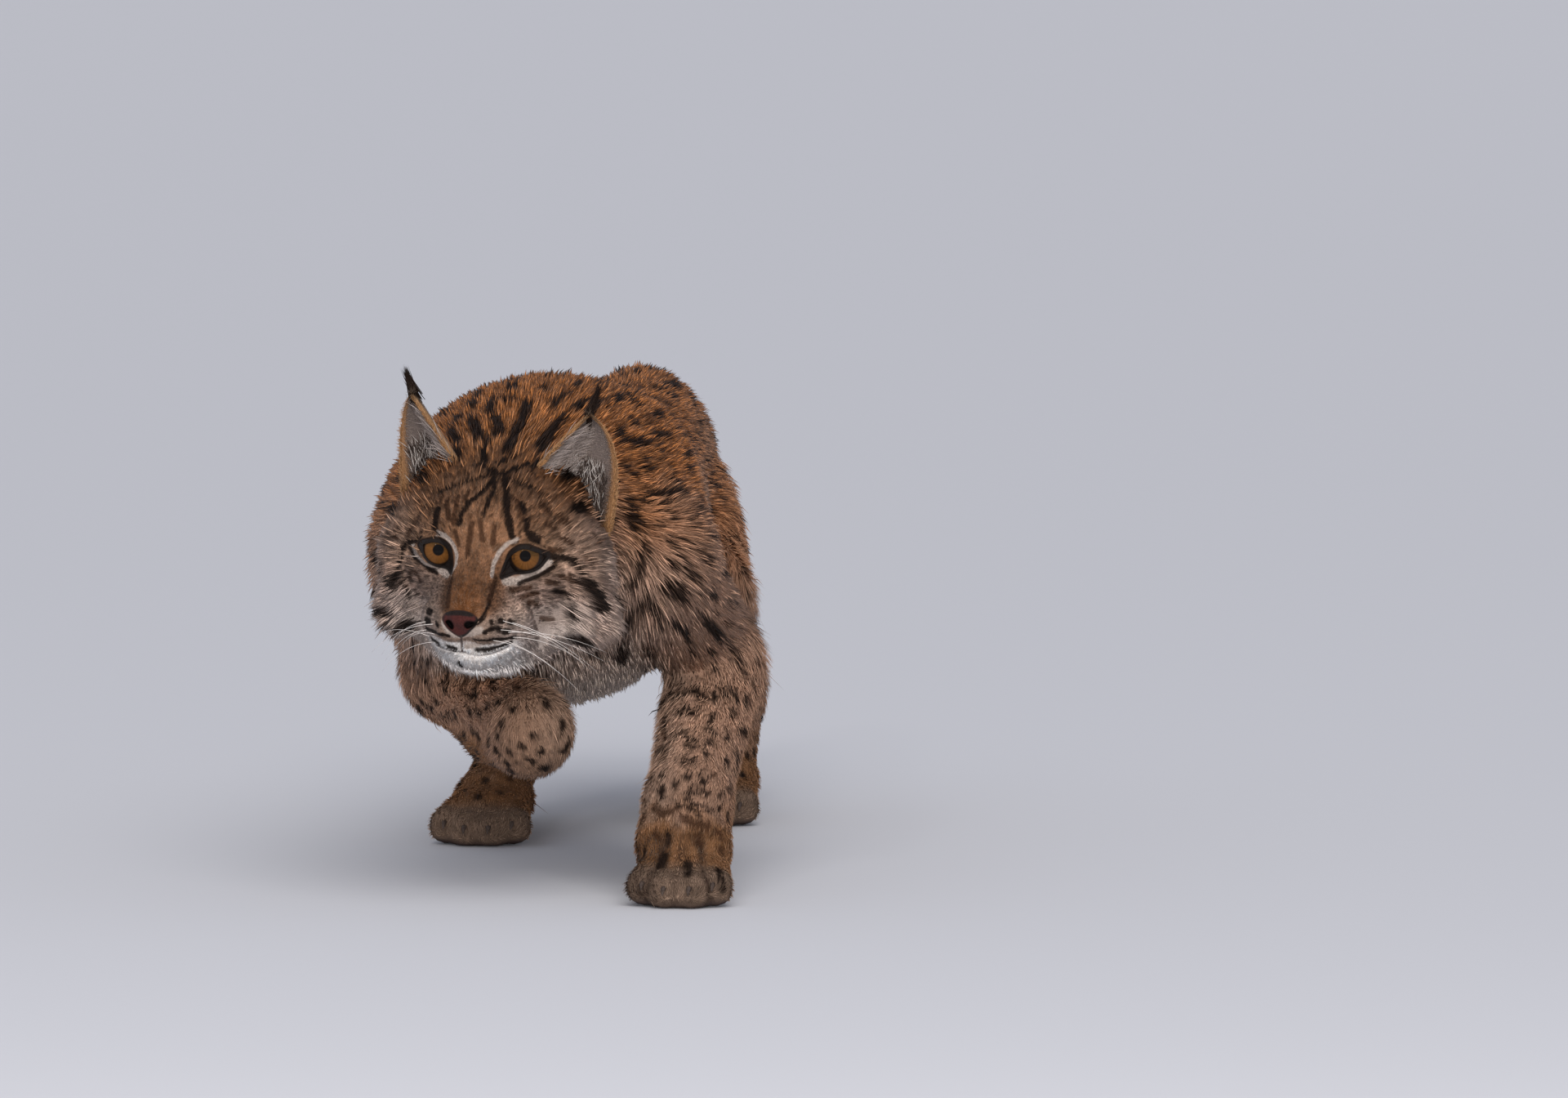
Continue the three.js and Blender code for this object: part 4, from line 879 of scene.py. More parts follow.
class Marks:
    """Every line and spot as short straight pieces on the coat's outline."""
    def __init__(self):
        a, b, r0, kind = [], [], [], []
        px, py, runs = [], [], []
        for k, wd, pts in MARKS:
            first = len(px)
            for (x0, y0), (x1, y1) in zip(pts[:-1], pts[1:]):
                m = max(1, int(math.hypot(x1 - x0, y1 - y0) / 7))
                px += [x0 + (x1 - x0) * i / m for i in range(m)]
                py += [y0 + (y1 - y0) * i / m for i in range(m)]
            px.append(pts[-1][0]); py.append(pts[-1][1])
            runs.append((first, len(px)))
        every = cast(px, py)
        for (k, wd, pts), (first, last) in zip(MARKS, runs):
            c = every[first:last]
            for i in range(len(c) - 1):
                if np.isnan(c[i:i + 2]).any() or np.linalg.norm(c[i + 1] - c[i]) > 45:
                    continue
                a.append(c[i]); b.append(c[i + 1]); r0.append(wd / PXMM / 2 * (1.4 if pts[0][0] < 720 and pts[0][1] > 800 else 1.12) + 0.3); kind.append(k)
        self.traced = np.array(a)
        self.a, self.b, self.r, self.kind = a, b, r0, kind

    def scatter(self, roots, normals, lie, D, rng):
        """Spots over what the traced marks leave bare, no nearer to each other than the gap."""
        w = shares(D, 6.0)
        roots = onto(roots, normals)
        near = Near(self.traced, 30.0)
        placed, grid = [], {}
        for i in rng.permutation(len(roots)):
            p = roots[i]
            if w["head"][i] > 0.5 and to_head(p[None])[0][1] < 58:
                continue
            leg = max(w[s][i] for s in LEGS)
            gap = SPOT_GAP["leg"] if leg > 0.5 else SPOT_GAP["trunk"]
            if p[2] < 34 or (leg <= 0.5 and normals[i, 2] < -0.75):
                continue
            key = tuple((p // 26).astype(int))
            if any(np.sum((p - o) ** 2) < gap * gap
                   for dx in (-1, 0, 1) for dy in (-1, 0, 1) for dz in (-1, 0, 1)
                   for o in grid.get((key[0] + dx, key[1] + dy, key[2] + dz), ())):
                continue
            idx = near.about(p - gap * 0.62, p + gap * 0.62)
            if len(idx) and np.min(np.sum((self.traced[idx] - p) ** 2, 1)) < (gap * 0.60) ** 2:
                continue
            grid.setdefault(key, []).append(p)
            placed.append(i)
        for i in placed:
            p, t = roots[i], lie[i]
            leg = max(w[s][i] for s in LEGS)
            top = ss(0.2, 0.7, normals[i, 2])
            if leg > 0.5:
                L, r = rng.uniform(1.5, 4.0), rng.uniform(2.6, 4.2)
            else:
                L, r = rng.uniform(3.0, 8.0) + 9 * top * rng.uniform(0.2, 1), rng.uniform(3.2, 5.2)
            t = t + rng.normal(0, 0.22, 3)
            t = unit(t - normals[i] * (t @ normals[i]))
            self.a.append(p - t * L); self.b.append(p + t * L); self.r.append(r); self.kind.append("k" if rng.random() < 0.85 else "b")
        # small dark flecks between the spots
        for gap, test, size, length in (
                (5.6, lambda i, q: w["head"][i] > 0.6 and not (abs(q[0]) < 12 and q[2] < -6) and q[2] > -44 and q[1] > -2, (0.6, 1.2), (2.5, 6.0)),
                (12.0, lambda i, q: w["trunk"][i] > 0.5 and normals[i, 2] > -0.45, (0.9, 1.8), (3.0, 9.0)),
                (10.0, lambda i, q: w["trunk"][i] <= 0.5 and w["head"][i] < 0.4 and roots[i, 2] > 45, (0.8, 1.5), (1.5, 4.0))):
            grid = {}
            Q = to_head(roots)
            for i in rng.permutation(len(roots)):
                if not test(i, Q[i]):
                    continue
                p = roots[i]
                key = tuple((p // gap).astype(int))
                if any(np.sum((p - o) ** 2) < gap * gap * 0.6
                       for dx in (-1, 0, 1) for dy in (-1, 0, 1) for dz in (-1, 0, 1)
                       for o in grid.get((key[0] + dx, key[1] + dy, key[2] + dz), ())):
                    continue
                grid.setdefault(key, []).append(p)
                L, t = rng.uniform(*length) / 2, lie[i] + rng.normal(0, 0.2, 3)
                t = unit(t - normals[i] * (t @ normals[i]))
                self.a.append(p - t * L); self.b.append(p + t * L); self.r.append(rng.uniform(*size)); self.kind.append("f")

    def read(self, p):
        """How black, brown-black and white the marks make each point."""
        near = Near(p)
        out = {k: np.zeros(len(p)) for k in "kbwf"}
        ragged = (noise(p, 3.2, 8) - 0.5) * 1.1 + (noise(p, 8.0, 9) - 0.5) * 1.0
        for a, b, r, k in zip(self.a, self.b, self.r, self.kind):
            g = r + 3.0
            i = near.about(np.minimum(a, b) - g, np.maximum(a, b) + g)
            if not len(i):
                continue
            e = b - a
            t = np.clip(((p[i] - a) @ e) / max(e @ e, 1e-6), 0, 1)
            d = np.linalg.norm(p[i] - a - t[:, None] * e, axis=1) + ragged[i] * min(1.0, r / 3.5)
            s = 0.35 + 0.22 * r
            out[k][i] = np.maximum(out[k][i], ss(r + s, r - s, d))
        return out


def marked_all(colours, p, n):
    """The marks laid over ground colours, and how dark they make them."""
    m = MARK.read(onto(p, n))
    q = to_head(p)
    for s in (1, -1):
        rim = eye_edge(q, s)
        wide = 0.7 + 1.2 * ss(-4.0, 4.0, eye_place(q, s)[1])
        m["k"] = np.maximum(m["k"], ss(wide + 0.7, wide - 0.2, rim))
    out = []
    for c in colours:
        c = mixc(c, c * 0.36, m["f"] * 0.85)
        c = mixc(c, (0.56, 0.46, 0.40), m["w"] * 0.92)
        c = mixc(c, (0.062, 0.028, 0.015), m["b"] * 0.85)
        out.append(mixc(c, BLACK, m["k"] * 0.98))
    return out, np.maximum(m["k"], m["b"] * 0.7)


def marked(c, p, n):
    out, dark = marked_all([c], p, n)
    return out[0], dark


# ---------------------------------------------------------------- the lie of the coat
def lie_of(p, n, D):
    w = shares(D, 10.0)
    F = w["trunk"][:, None] * (np.array([0.0, 1.0, -0.30]) + np.outer(ss(0.2, -0.6, n[:, 2]), [0, 0, -0.35])
                               + np.outer(np.clip(n[:, 0], -1, 1) * ss(0.6, 0.1, n[:, 2]), [0.0, 0, 0])
                               + np.outer(ss(-0.2, -0.8, n[:, 1]), [0, 0, -0.9]))
    q = to_head(p)
    h = units(q - np.array([0, -75.0, -25.0]))
    x, y, z = np.abs(q[:, 0]), q[:, 1], q[:, 2]
    ruff = ss(45, 80, x) * ss(10, -30, z)
    h = h + np.stack([0.15 * np.sign(q[:, 0]) * ruff, 0.3 * ruff, -0.9 * ruff], 1)
    under = ss(-50, -66, z)
    h = h + np.stack([0 * x, 0.4 * under, -0.5 * under], 1)
    F = F + (units(h) @ HEAD_R.T) * w["head"][:, None]
    for s in CHAINS:
        if not (w[s] > 0.01).any():
            continue
        m = w[s] > 0.01
        acc, tot = np.zeros((m.sum(), 3)), np.zeros(m.sum())
        for part in CHAINS[s]:
            a, b, nn, ax, v, u = limb_axes(part)
            if part["name"] in ("elbow", "hock"):
                continue
            g = np.exp(-np.clip(limb(p[m], part), -20, 60) / 7.0)
            acc += np.outer(g, ax)
            tot += g
        acc = units(acc)
        F[m] += acc * w[s][m][:, None] * 1.1
    F = F - n * np.sum(F * n, 1)[:, None]
    F += 0.35 * np.stack([noise(p, 30, 21) - 0.5, noise(p, 30, 22) - 0.5, noise(p, 30, 23) - 0.5], 1)
    F = F - n * np.sum(F * n, 1)[:, None]
    return units(F)


# ---------------------------------------------------------------- an unwrap of the skin's own shape
def unwrap(p, part):
    if part in ("head", "face", "ruff"):
        q = to_head(p) - np.array([0, 34.0, -16.0])
        q = units(q)
        f = np.arccos(np.clip(-q[:, 1], -1, 1)) / math.pi
        g = np.hypot(q[:, 0], q[:, 2]) + 1e-9
        return np.stack([0.5 + 0.48 * f * q[:, 0] / g, 0.5 + 0.48 * f * q[:, 2] / g], 1)
    if part == "trunk":
        cx, cz, w, h = spine_at(np.clip(p[:, 1], _ST[0, 1], _ST[-1, 1]))
        a = np.arctan2(p[:, 0] - cx, p[:, 2] - cz)
        return np.stack([0.5 + 0.48 * a / math.pi, 0.03 + 0.94 * np.clip((p[:, 1] + 200) / 860, 0, 1)], 1)
    best, uv = np.full(len(p), 1e9), np.zeros((len(p), 2))
    parts = [s for s in CHAINS[part] if s["name"] != "toe"]
    for i, s in enumerate(parts):
        a, b, n, w, v, u = limb_axes(s)
        d = limb(p, s)
        t = np.clip(((p - a) @ w) / n, -0.6 if i == 0 else 0, 1.8 if i == len(parts) - 1 else 1)
        ang = np.arctan2((p - a) @ u, (p - a) @ v)
        m = d < best
        best = np.where(m, d, best)
        uv[m] = np.stack([0.5 + 0.48 * ang / math.pi, 0.03 + 0.94 * (i + 0.6 + t) / (len(parts) + 1.6)], 1)[m]
    return np.clip(uv, 0.01, 0.99)


# ---------------------------------------------------------------- meshes
def mesh_of(name, verts, tris, col=None, uv=None, smooth=True, more=None):
    me = bpy.data.meshes.new(name)
    me.vertices.add(len(verts))
    me.vertices.foreach_set("co", np.ascontiguousarray(verts, np.float32).ravel())
    me.loops.add(len(tris) * 3)
    me.loops.foreach_set("vertex_index", np.ascontiguousarray(tris, np.int32).ravel())
    me.polygons.add(len(tris))
    me.polygons.foreach_set("loop_start", np.arange(0, len(tris) * 3, 3, dtype=np.int32))
    me.update(calc_edges=True)
    me.polygons.foreach_set("use_smooth", np.full(len(tris), smooth))
    if col is not None:
        colour(me, col)
    for k, v in (more or {}).items():
        me.attributes.new(k, "FLOAT", "POINT").data.foreach_set("value", np.ascontiguousarray(v, np.float32))
    if uv is not None:
        lay = me.uv_layers.new(name="OFBake")
        lay.data.foreach_set("uv", np.ascontiguousarray(uv[tris.ravel()], np.float32).ravel())
    ob = bpy.data.objects.new(name, me)
    bpy.context.scene.collection.objects.link(ob)
    return ob


def colour(me, col):
    a = me.color_attributes.new("Col", "FLOAT_COLOR", "POINT")
    rgba = np.ones((len(col), 4), np.float32)
    rgba[:, :3] = np.clip(col, 0, 1)
    a.data.foreach_set("color", rgba.ravel())


def principled(name):
    m = bpy.data.materials.new(name)
    m.use_nodes = True
    nt = m.node_tree
    b = nt.nodes["Principled BSDF"]
    return m, nt, b


def node(nt, kind, **kw):
    n = nt.nodes.new(kind)
    for k, v in kw.items():
        setattr(n, k, v)
    return n


def coat_material(name, rough=0.62, scale=900.0, spread=(0.86, 1.16), sheen=0.0):
    """The painted colour of each lock, with fine lengthwise unevenness."""
    m, nt, b = principled(name)
    at = node(nt, "ShaderNodeAttribute", attribute_name="Col")
    tc = node(nt, "ShaderNodeTexCoord")
    nz = node(nt, "ShaderNodeTexNoise")
    nz.inputs["Scale"].default_value = scale
    nz.inputs["Detail"].default_value = 2.0
    mr = node(nt, "ShaderNodeMapRange")
    mr.inputs["To Min"].default_value, mr.inputs["To Max"].default_value = spread
    mr.inputs["From Min"].default_value, mr.inputs["From Max"].default_value = 0.3, 0.7
    mx = node(nt, "ShaderNodeVectorMath", operation="SCALE")
    L = nt.links.new
    L(tc.outputs["Object"], nz.inputs["Vector"])
    L(nz.outputs["Fac"], mr.inputs["Value"])
    L(at.outputs["Color"], mx.inputs[0])
    L(mr.outputs["Result"], mx.inputs["Scale"])
    L(mx.outputs[0], b.inputs["Base Color"])
    b.inputs["Roughness"].default_value = rough
    b.inputs["Specular IOR Level"].default_value = 0.09
    if sheen:
        b.inputs["Sheen Weight"].default_value = sheen
    return m


MADE = []


def own(ob, nodes, mat):
    ob.data.materials.clear()
    ob.data.materials.append(mat)
    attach(ob, "root")
    if nodes:
        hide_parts(*nodes)
    MADE.append(ob)
    return ob


def lock_mesh(root, nrm, lie, L, H, W, base, mid, tip, bent=True, sink=0.6, curl=None):
    """Closed three-sided locks: a base ring, for bent ones a middle ring, and a point."""
    n = len(root)
    side = units(np.cross(lie, nrm))
    L, H, W = (np.broadcast_to(np.asarray(x, float), n)[:, None] for x in (L, H, W))
    curl = np.zeros((n, 3)) if curl is None else curl

    def at(s):
        return root + lie * L * s + nrm * (H * (1 - (1 - s) ** 2) - sink * (1 - s)) + curl * (s * s)
    rings, cols = [], []
    for s, w, c in ((0.0, 0.85, base), (0.5, 1.0, mid)) if bent else ((0.0, 1.0, base),):
        c0 = at(s)
        rings += [c0 - side * W * w / 2, c0 + side * W * w / 2, c0 + nrm * W * w * 0.42]
        cols += [c, c, c]
    rings.append(at(1.0))
    cols.append(tip)
    k = len(rings)
    V = np.stack(rings, 1).reshape(-1, 3)
    C = np.stack(cols, 1).reshape(-1, 3)
    if bent:
        f = [(0, 2, 1)] + [x for i in range(3) for j in [(i + 1) % 3] for x in ((i, j, 3 + j), (i, 3 + j, 3 + i))] + [(3, 4, 6), (4, 5, 6), (5, 3, 6)]
    else:
        f = [(0, 2, 1), (0, 1, 3), (1, 2, 3), (2, 0, 3)]
    F = (np.array(f)[None] + (np.arange(n) * k)[:, None, None]).reshape(-1, 3)
    # faces point away from the lock's middle line
    a, b, c = (V[F[:len(f), i]] for i in range(3))
    mid0 = V[:k].mean(0)
    if np.sum(np.sum(np.cross(b - a, c - a) * ((a + b + c) / 3 - mid0), 1)) < 0:
        F = F[:, ::-1]
    return V, F, C, k


def lock_uv(uv, k):
    """Each lock's own patch, 0.003 across, at its root's place."""
    n = len(uv)
    off = np.zeros((k, 2))
    for i in range(k):
        r, j = divmod(i, 3)
        off[i] = ((j - 1) * 0.0014, (r / max((k - 1) // 3, 1) - 0.5) * 0.0028)
    off[k - 1] = (0, 0.0014)
    return (np.clip(uv, 0.004, 0.996)[:, None, :] + off[None]).reshape(-1, 2)


# ---------------------------------------------------------------- the skin
rng = np.random.default_rng(7)
LO, HI = np.array(CAD_BOX[0]) * 1000 + CENTRE - 9, np.array(CAD_BOX[1]) * 1000 + CENTRE + 9
field = repair(sparse_field(skin, LO, HI, SKIN_STEP))
sv, sq = nets(field, LO, SKIN_STEP)
sv = settle(skin, sv, 3)
me = bpy.data.meshes.new("skin")
me.from_pydata(sv.tolist(), [], sq.tolist())
bm = bmesh.new()
bm.from_mesh(me)
finer(bm, lambda c: (lambda q: (q[:, 1] < 74) & (np.abs(q[:, 0]) < 96) & (q[:, 2] > -104))(to_head(c)))
finer(bm, lambda c: (lambda q: (q[:, 1] < 24) & (np.abs(q[:, 0]) < 54) & (q[:, 2] > -82) & (q[:, 2] < 24))(to_head(c)))


def fine_spots(c):
    q = to_head(c)
    m = (np.abs(q[:, 0]) < 17) & (q[:, 1] < -22) & (q[:, 2] > -54) & (q[:, 2] < -16)
    for s in (1, -1):
        a, b, d = eye_place(q, s)
        m |= (np.hypot(a, b * 1.2) < 21) & (d > -8)
    return m


bm.to_mesh(me)
co = settle(skin, co_of(me), 2)
me.vertices.foreach_set("co", co.astype(np.float32).ravel())
bm.free()
bm = bmesh.new()
bm.from_mesh(me)
finer(bm, fine_spots)
bmesh.ops.triangulate(bm, faces=bm.faces[:])
bm.to_mesh(me)
bm.free()
co = settle(skin, co_of(me), 2)
co = sculpt(co)
# two light passes of smoothing where the mesh was sculpted would blunt the rims, so there are none
tri = np.zeros(len(me.loop_triangles) * 3, np.int32) if me.loop_triangles else None
me.calc_loop_triangles()
tri = np.zeros(len(me.loop_triangles) * 3, np.int32)
me.loop_triangles.foreach_get("vertices", tri)
tri = tri.reshape(-1, 3)
me.vertices.foreach_set("co", co.astype(np.float32).ravel())
me.update()
nrm = normals_of(me)
print("skin", len(co), "verts", len(tri), "triangles")
D0 = fields(co)
MARK = Marks()
base_lie = lie_of(co, nrm, D0)
pick = rng.permutation(len(co))[:26000]
MARK.scatter(co[pick], nrm[pick], base_lie[pick], {k: v[pick] for k, v in D0.items()}, rng)
print("marks", len(MARK.a))


def bare_parts(p, n):
    """Leather, lids, lips and soles: distances in mm to the nose's leather, the mouth, the philtrum and the eye's rim,
    how much is sole, and the places in the view.
    """
    q = to_head(p)
    x, y = pix(p)
    front = (q[:, 1] < 6) & (np.abs(q[:, 0]) < 40) & (n @ BACK > -0.2)
    near_face = np.where((q[:, 1] < 45) & (np.abs(q[:, 0]) < 70) & (q[:, 2] > -85) & (q[:, 2] < 35))[0]
    nose = np.full(len(p), 9.0)
    mouth = np.full(len(p), 9.0)
    i = np.where(front)[0]
    nose[i] = loop_distance(x[i], y[i], NOSE) / PXMM
    mouth[i] = line_distance(x[i], y[i], MOUTH) / PXMM
    phil = np.full(len(p), 9.0)
    phil[i] = line_distance(x[i], y[i], PHILTRUM) / PXMM
    eye = np.full(len(p), 99.0)
    for s in (1, -1):
        eye[near_face] = np.minimum(eye[near_face], eye_edge(q[near_face], s))
    sole = ss(-0.5, -0.85, n[:, 2]) * ss(7, 3, p[:, 2])
    return dict(nose=nose, mouth=mouth, phil=phil, eye=eye, sole=sole, x=x, y=y)


def skin_colour(p, n, D):
    c, dark = marked(tone(p, n, D), p, n)
    B = bare_parts(p, n)
    # the skin under the locks is painted at 0.6 of the coat's colour: partly the coat's dark hair bases, partly
    # painted shade deep in the fur
    c = c * 0.6
    eye = ss(1.2, 0.5, B["eye"])
    c = mixc(c, (0.012, 0.009, 0.008), eye)
    lea = ss(0.35, -0.25, B["nose"])
    leather = mixc(np.tile(LEATHER, (len(p), 1)), (0.02, 0.013, 0.012), ss(-2.4, -0.4, B["nose"]) * 0.55)
    top = line_distance(B["x"], B["y"], [(548, 750), (563, 750), (577, 752)]) / PXMM
    leather = mixc(leather, (0.014, 0.010, 0.009), ss(2.6, 1.2, top))
    # the nostrils are painted near black: painted shade inside their hollows
    for nl in NOSTRILS:
        leather = mixc(leather, (0.004, 0.003, 0.003), ss(0.4, -0.5, loop_distance(B["x"], B["y"], nl) / PXMM))
    side = line_distance(B["x"], B["y"], [(586, 757), (581, 768), (572, 778), (564, 781)]) / PXMM
    leather = mixc(leather, (0.012, 0.009, 0.008), ss(2.4, 1.0, side))
    leather = leather * (0.85 + 0.3 * noise(p, 1.3, 31))[:, None]
    c = mixc(c, leather, lea)
    c = mixc(c, LIP, ss(1.2, 0.5, B["mouth"]) * 0.9)
    c = mixc(c, (0.05, 0.034, 0.03), ss(1.3, 0.5, B["phil"]) * 0.9)
    c = mixc(c, PAD, B["sole"])
    wet = np.maximum(np.maximum(eye, lea * 0.8), ss(1.2, 0.5, B["mouth"]) * 0.5)
    return c, wet


scol, wet = skin_colour(co, nrm, D0)
bpy.data.meshes.remove(me)


# ---------------------------------------------------------------- ears
def ear_loft(s, levels=34, across=22, thin=1.0, root=-0.16):
    """Rings of an ear from root to tip: the outer arc, then the inner arc back. Points in the head's frame."""
    A = {k: np.array(s[k], float) for k in ("inner", "outer", "edge", "tip", "tuft")}
    mix = lambda a, b, t: a + (b - a) * t
    bez = lambda a, b, c, t: mix(mix(a, b, t), mix(b, c, t), t)
    face = unit([0.32 * s["side"], -0.94, 0.06])
    bulge = mix(A["inner"], A["tip"], 0.55) + np.array([4.0 * s["side"], 0, 7])
    rings = []
    for l in range(levels + 1):
        t = root + (0.985 - root) * l / levels
        u = max(t, 0)
        m, o = bez(A["inner"], bulge, A["tip"], u), bez(A["outer"], A["edge"], A["tip"], u)
        if t < 0:
            d = unit(mix(A["inner"], A["outer"], 0.5) - A["tip"])
            m, o = m + d * (-t * 60), o + d * (-t * 60)
        ac = o - m
        dep = 4 + 21 * (1 - u) ** 0.8
        wall = min(SPEC["ear_wall"], 1.4 + 3 * (1 - u)) * 0.75
        ring = []
        shrink = thin * min(1.0, 0.02 + 1.0 / max(np.linalg.norm(ac), 1e-6))
        for i in range(across):
            k = i / (across - 1)
            kk = shrink + (1 - 2 * shrink) * k
            ring.append(m + ac * kk - face * (max(dep - thin, 0.5) * math.sin(math.pi * k) ** 0.75))
        for i in range(across - 1, -1, -1):
            k = i / (across - 1)
            e = 0.035
            kk = shrink + e + (1 - 2 * (shrink + e)) * k
            ring.append(m + ac * kk - face * (max(0, dep - thin - wall) * math.sin(math.pi * k) ** 0.75 - (0.6 if i in (0, across - 1) else 0)))
        rings.append(ring)
    return np.array(rings)


def ear_mesh(s):
    R = ear_loft(s)
    n, m = R.shape[:2]
    V = R.reshape(-1, 3)
    c = R[-1].mean(0)
    V = np.concatenate([V, [c + (np.array(s["tip"]) - c) * 0.6]])
    F = []
    for l in range(n - 1):
        for i in range(m):
            j = (i + 1) % m
            a, b, cc, d = l * m + i, l * m + j, (l + 1) * m + j, (l + 1) * m + i
            F += [(a, b, cc), (a, cc, d)]
    for i in range(m // 2 - 1):
        a, b, cc, d = i, i + 1, m - 2 - i, m - 1 - i
        F += [(a, d, cc), (a, cc, b)]
    top = (n - 1) * m
    F += [(top + i, top + (i + 1) % m, len(V) - 1) for i in range(m)]
    F = np.array(F)
    a, b, cc = V[F[:, 0]], V[F[:, 1]], V[F[:, 2]]
    if np.sum(a * np.cross(b, cc)) < 0:
        F = F[:, ::-1]
    V = from_head(V)
    h = m // 2
    ring = np.repeat(np.arange(n), m) / (n - 1)
    pos = np.tile(np.concatenate([np.arange(h), np.arange(h)[::-1]]), n) / (h - 1)
    inner = np.tile(np.concatenate([np.zeros(h), np.ones(h)]), n)
    ring, pos, inner = (np.append(x, y) for x, y in ((ring, 1.0), (pos, 0.5), (inner, 1.0)))
    edge = np.minimum(pos, 1 - pos)
    c_in = mixc(np.tile((0.20, 0.155, 0.14), (len(V), 1)), EAR_GREY, ss(0.3, 0.8, ring) * 0.9)
    # painted shade in the ear's hollow: the inside darkened low down and towards its outer side
    c_in = mixc(c_in, (0.05, 0.035, 0.03), ss(0.45, 0.15, ring) * ss(0.35, 0.75, pos))
    c_in = mixc(c_in, (0.30, 0.15, 0.065), ss(0.08, 0.02, edge))
    c_out = mixc(np.tile(np.array(EAR_BACK), (len(V), 1)), (0.46, 0.40, 0.36), np.exp(-((ring - 0.48) / 0.16) ** 2) * ss(0.16, 0.36, edge) * 0.9)
    c_out = mixc(c_out, BLACK, ss(0.62, 0.86, ring))
    c_out = mixc(c_out, (0.40, 0.22, 0.10), ss(0.10, 0.03, edge) * ss(0.98, 0.8, ring))
    c = mixc(c_out, c_in, inner)
    c = mixc(c, BLACK, ss(0.955, 0.99, ring))
    return V, F, c, ring, pos, inner


EARS = {s["name"]: ear_mesh(s) for s in SPEC["ears"]}
allV, allF, allC, allW = [co], [tri], [scol], [wet]
off = len(co)
for nme, (V, F, c, *_r) in EARS.items():
    allV.append(V); allF.append(F + off); allC.append(c * 0.8); allW.append(np.zeros(len(V)))
    off += len(V)
SV, SF, SC, SW = np.concatenate(allV), np.concatenate(allF), np.concatenate(allC), np.concatenate(allW)
skin_ob = mesh_of("lynx_skin", world(SV), SF, SC, more={"wet": SW})


def skin_material():
    """Short flat fur as bump between the locks; leather, lids and lips smooth and damp."""
    m, nt, b = principled("lynx_skin")
    L = nt.links.new
    at = node(nt, "ShaderNodeAttribute", attribute_name="Col")
    we = node(nt, "ShaderNodeAttribute", attribute_name="wet")
    tc = node(nt, "ShaderNodeTexCoord")
    nz = node(nt, "ShaderNodeTexNoise")
    nz.inputs["Scale"].default_value = 1100.0
    nz.inputs["Detail"].default_value = 3.0
    mr = node(nt, "ShaderNodeMapRange")
    mr.inputs["From Min"].default_value, mr.inputs["From Max"].default_value = 0.3, 0.7
    mr.inputs["To Min"].default_value, mr.inputs["To Max"].default_value = 0.72, 1.22
    sc = node(nt, "ShaderNodeVectorMath", operation="SCALE")
    ro = node(nt, "ShaderNodeMapRange")
    ro.inputs["To Min"].default_value, ro.inputs["To Max"].default_value = 0.8, 0.44
    bu = node(nt, "ShaderNodeBump")
    bu.inputs["Strength"].default_value = 0.35
    bu.inputs["Distance"].default_value = 0.0006
    L(tc.outputs["Object"], nz.inputs["Vector"])
    L(nz.outputs["Fac"], mr.inputs["Value"])
    L(at.outputs["Color"], sc.inputs[0])
    L(mr.outputs["Result"], sc.inputs["Scale"])
    L(sc.outputs[0], b.inputs["Base Color"])
    L(we.outputs["Fac"], ro.inputs["Value"])
    L(ro.outputs["Result"], b.inputs["Roughness"])
    L(nz.outputs["Fac"], bu.inputs["Height"])
    L(bu.outputs["Normal"], b.inputs["Normal"])
    b.inputs["Specular IOR Level"].default_value = 0.1
    return m


FLESH = ["head", "neck", "trunk", "tail", "ear_left", "ear_right"] + list(LEGS) + [n.replace("leg", "paw") for n in LEGS]
own(skin_ob, FLESH, skin_material())

# ---------------------------------------------------------------- the coat
A, Bv, Cv = co[tri[:, 0]], co[tri[:, 1]], co[tri[:, 2]]
area = np.linalg.norm(np.cross(Bv - A, Cv - A), axis=1) / 2
cen = (A + Bv + Cv) / 3
W0 = {k: v[tri].mean(1) for k, v in shares(D0, 7.0).items()}
qc = to_head(cen)
qx, qy, qz = np.abs(qc[:, 0]), qc[:, 1], qc[:, 2]
headness = W0["head"]
zone_face = headness * ss(44, 30, qy) * ss(66, 56, qx) * ss(-92, -84, qz)
zone_ruff = headness * np.maximum(ss(52, 66, qx) * ss(-2, -20, qz), ss(-70, -84, qz))
zone_head = headness * (1 - zone_face)


def sample(weight, count):
    """Roots spread over the skin by area and weight: place, normal, faces."""
    pr = area * weight
    if pr.sum() <= 0:
        return np.zeros(0, int), np.zeros((0, 3)), np.zeros((0, 3))
    cum = np.cumsum(pr)
    # stratified along the running area, so that the cover is even
    u = (np.arange(count) + rng.random(count)) / count * cum[-1]
    f = np.minimum(np.searchsorted(cum, u), len(area) - 1)
    r1, r2 = np.sqrt(rng.random(count)), rng.random(count)
    w = np.stack([1 - r1, r1 * (1 - r2), r1 * r2], 1)
    P = np.einsum("ij,ijk->ik", w, co[tri[f]])
    N = units(np.einsum("ij,ijk->ik", w, nrm[tri[f]]))
    return f, P, N


def clumped(P, T, N, size, seed):
    """Each root's lock: the mean place and direction of the roots that share a warped cell."""
    wob = np.stack([noise(P, size * 2.3, seed + i) for i in range(3)], 1) * size * 1.6
    k = np.floor((P + wob) / size).astype(np.int64)
    code = (k[:, 0] * 7919 + k[:, 1]) * 7907 + k[:, 2]
    _, inv, cnt = np.unique(code, return_inverse=True, return_counts=True)
    mean = lambda X: np.stack([np.bincount(inv, X[:, i]) for i in range(3)], 1) / cnt[:, None]
    return inv, mean(P)[inv], units(mean(T))[inv], len(cnt)


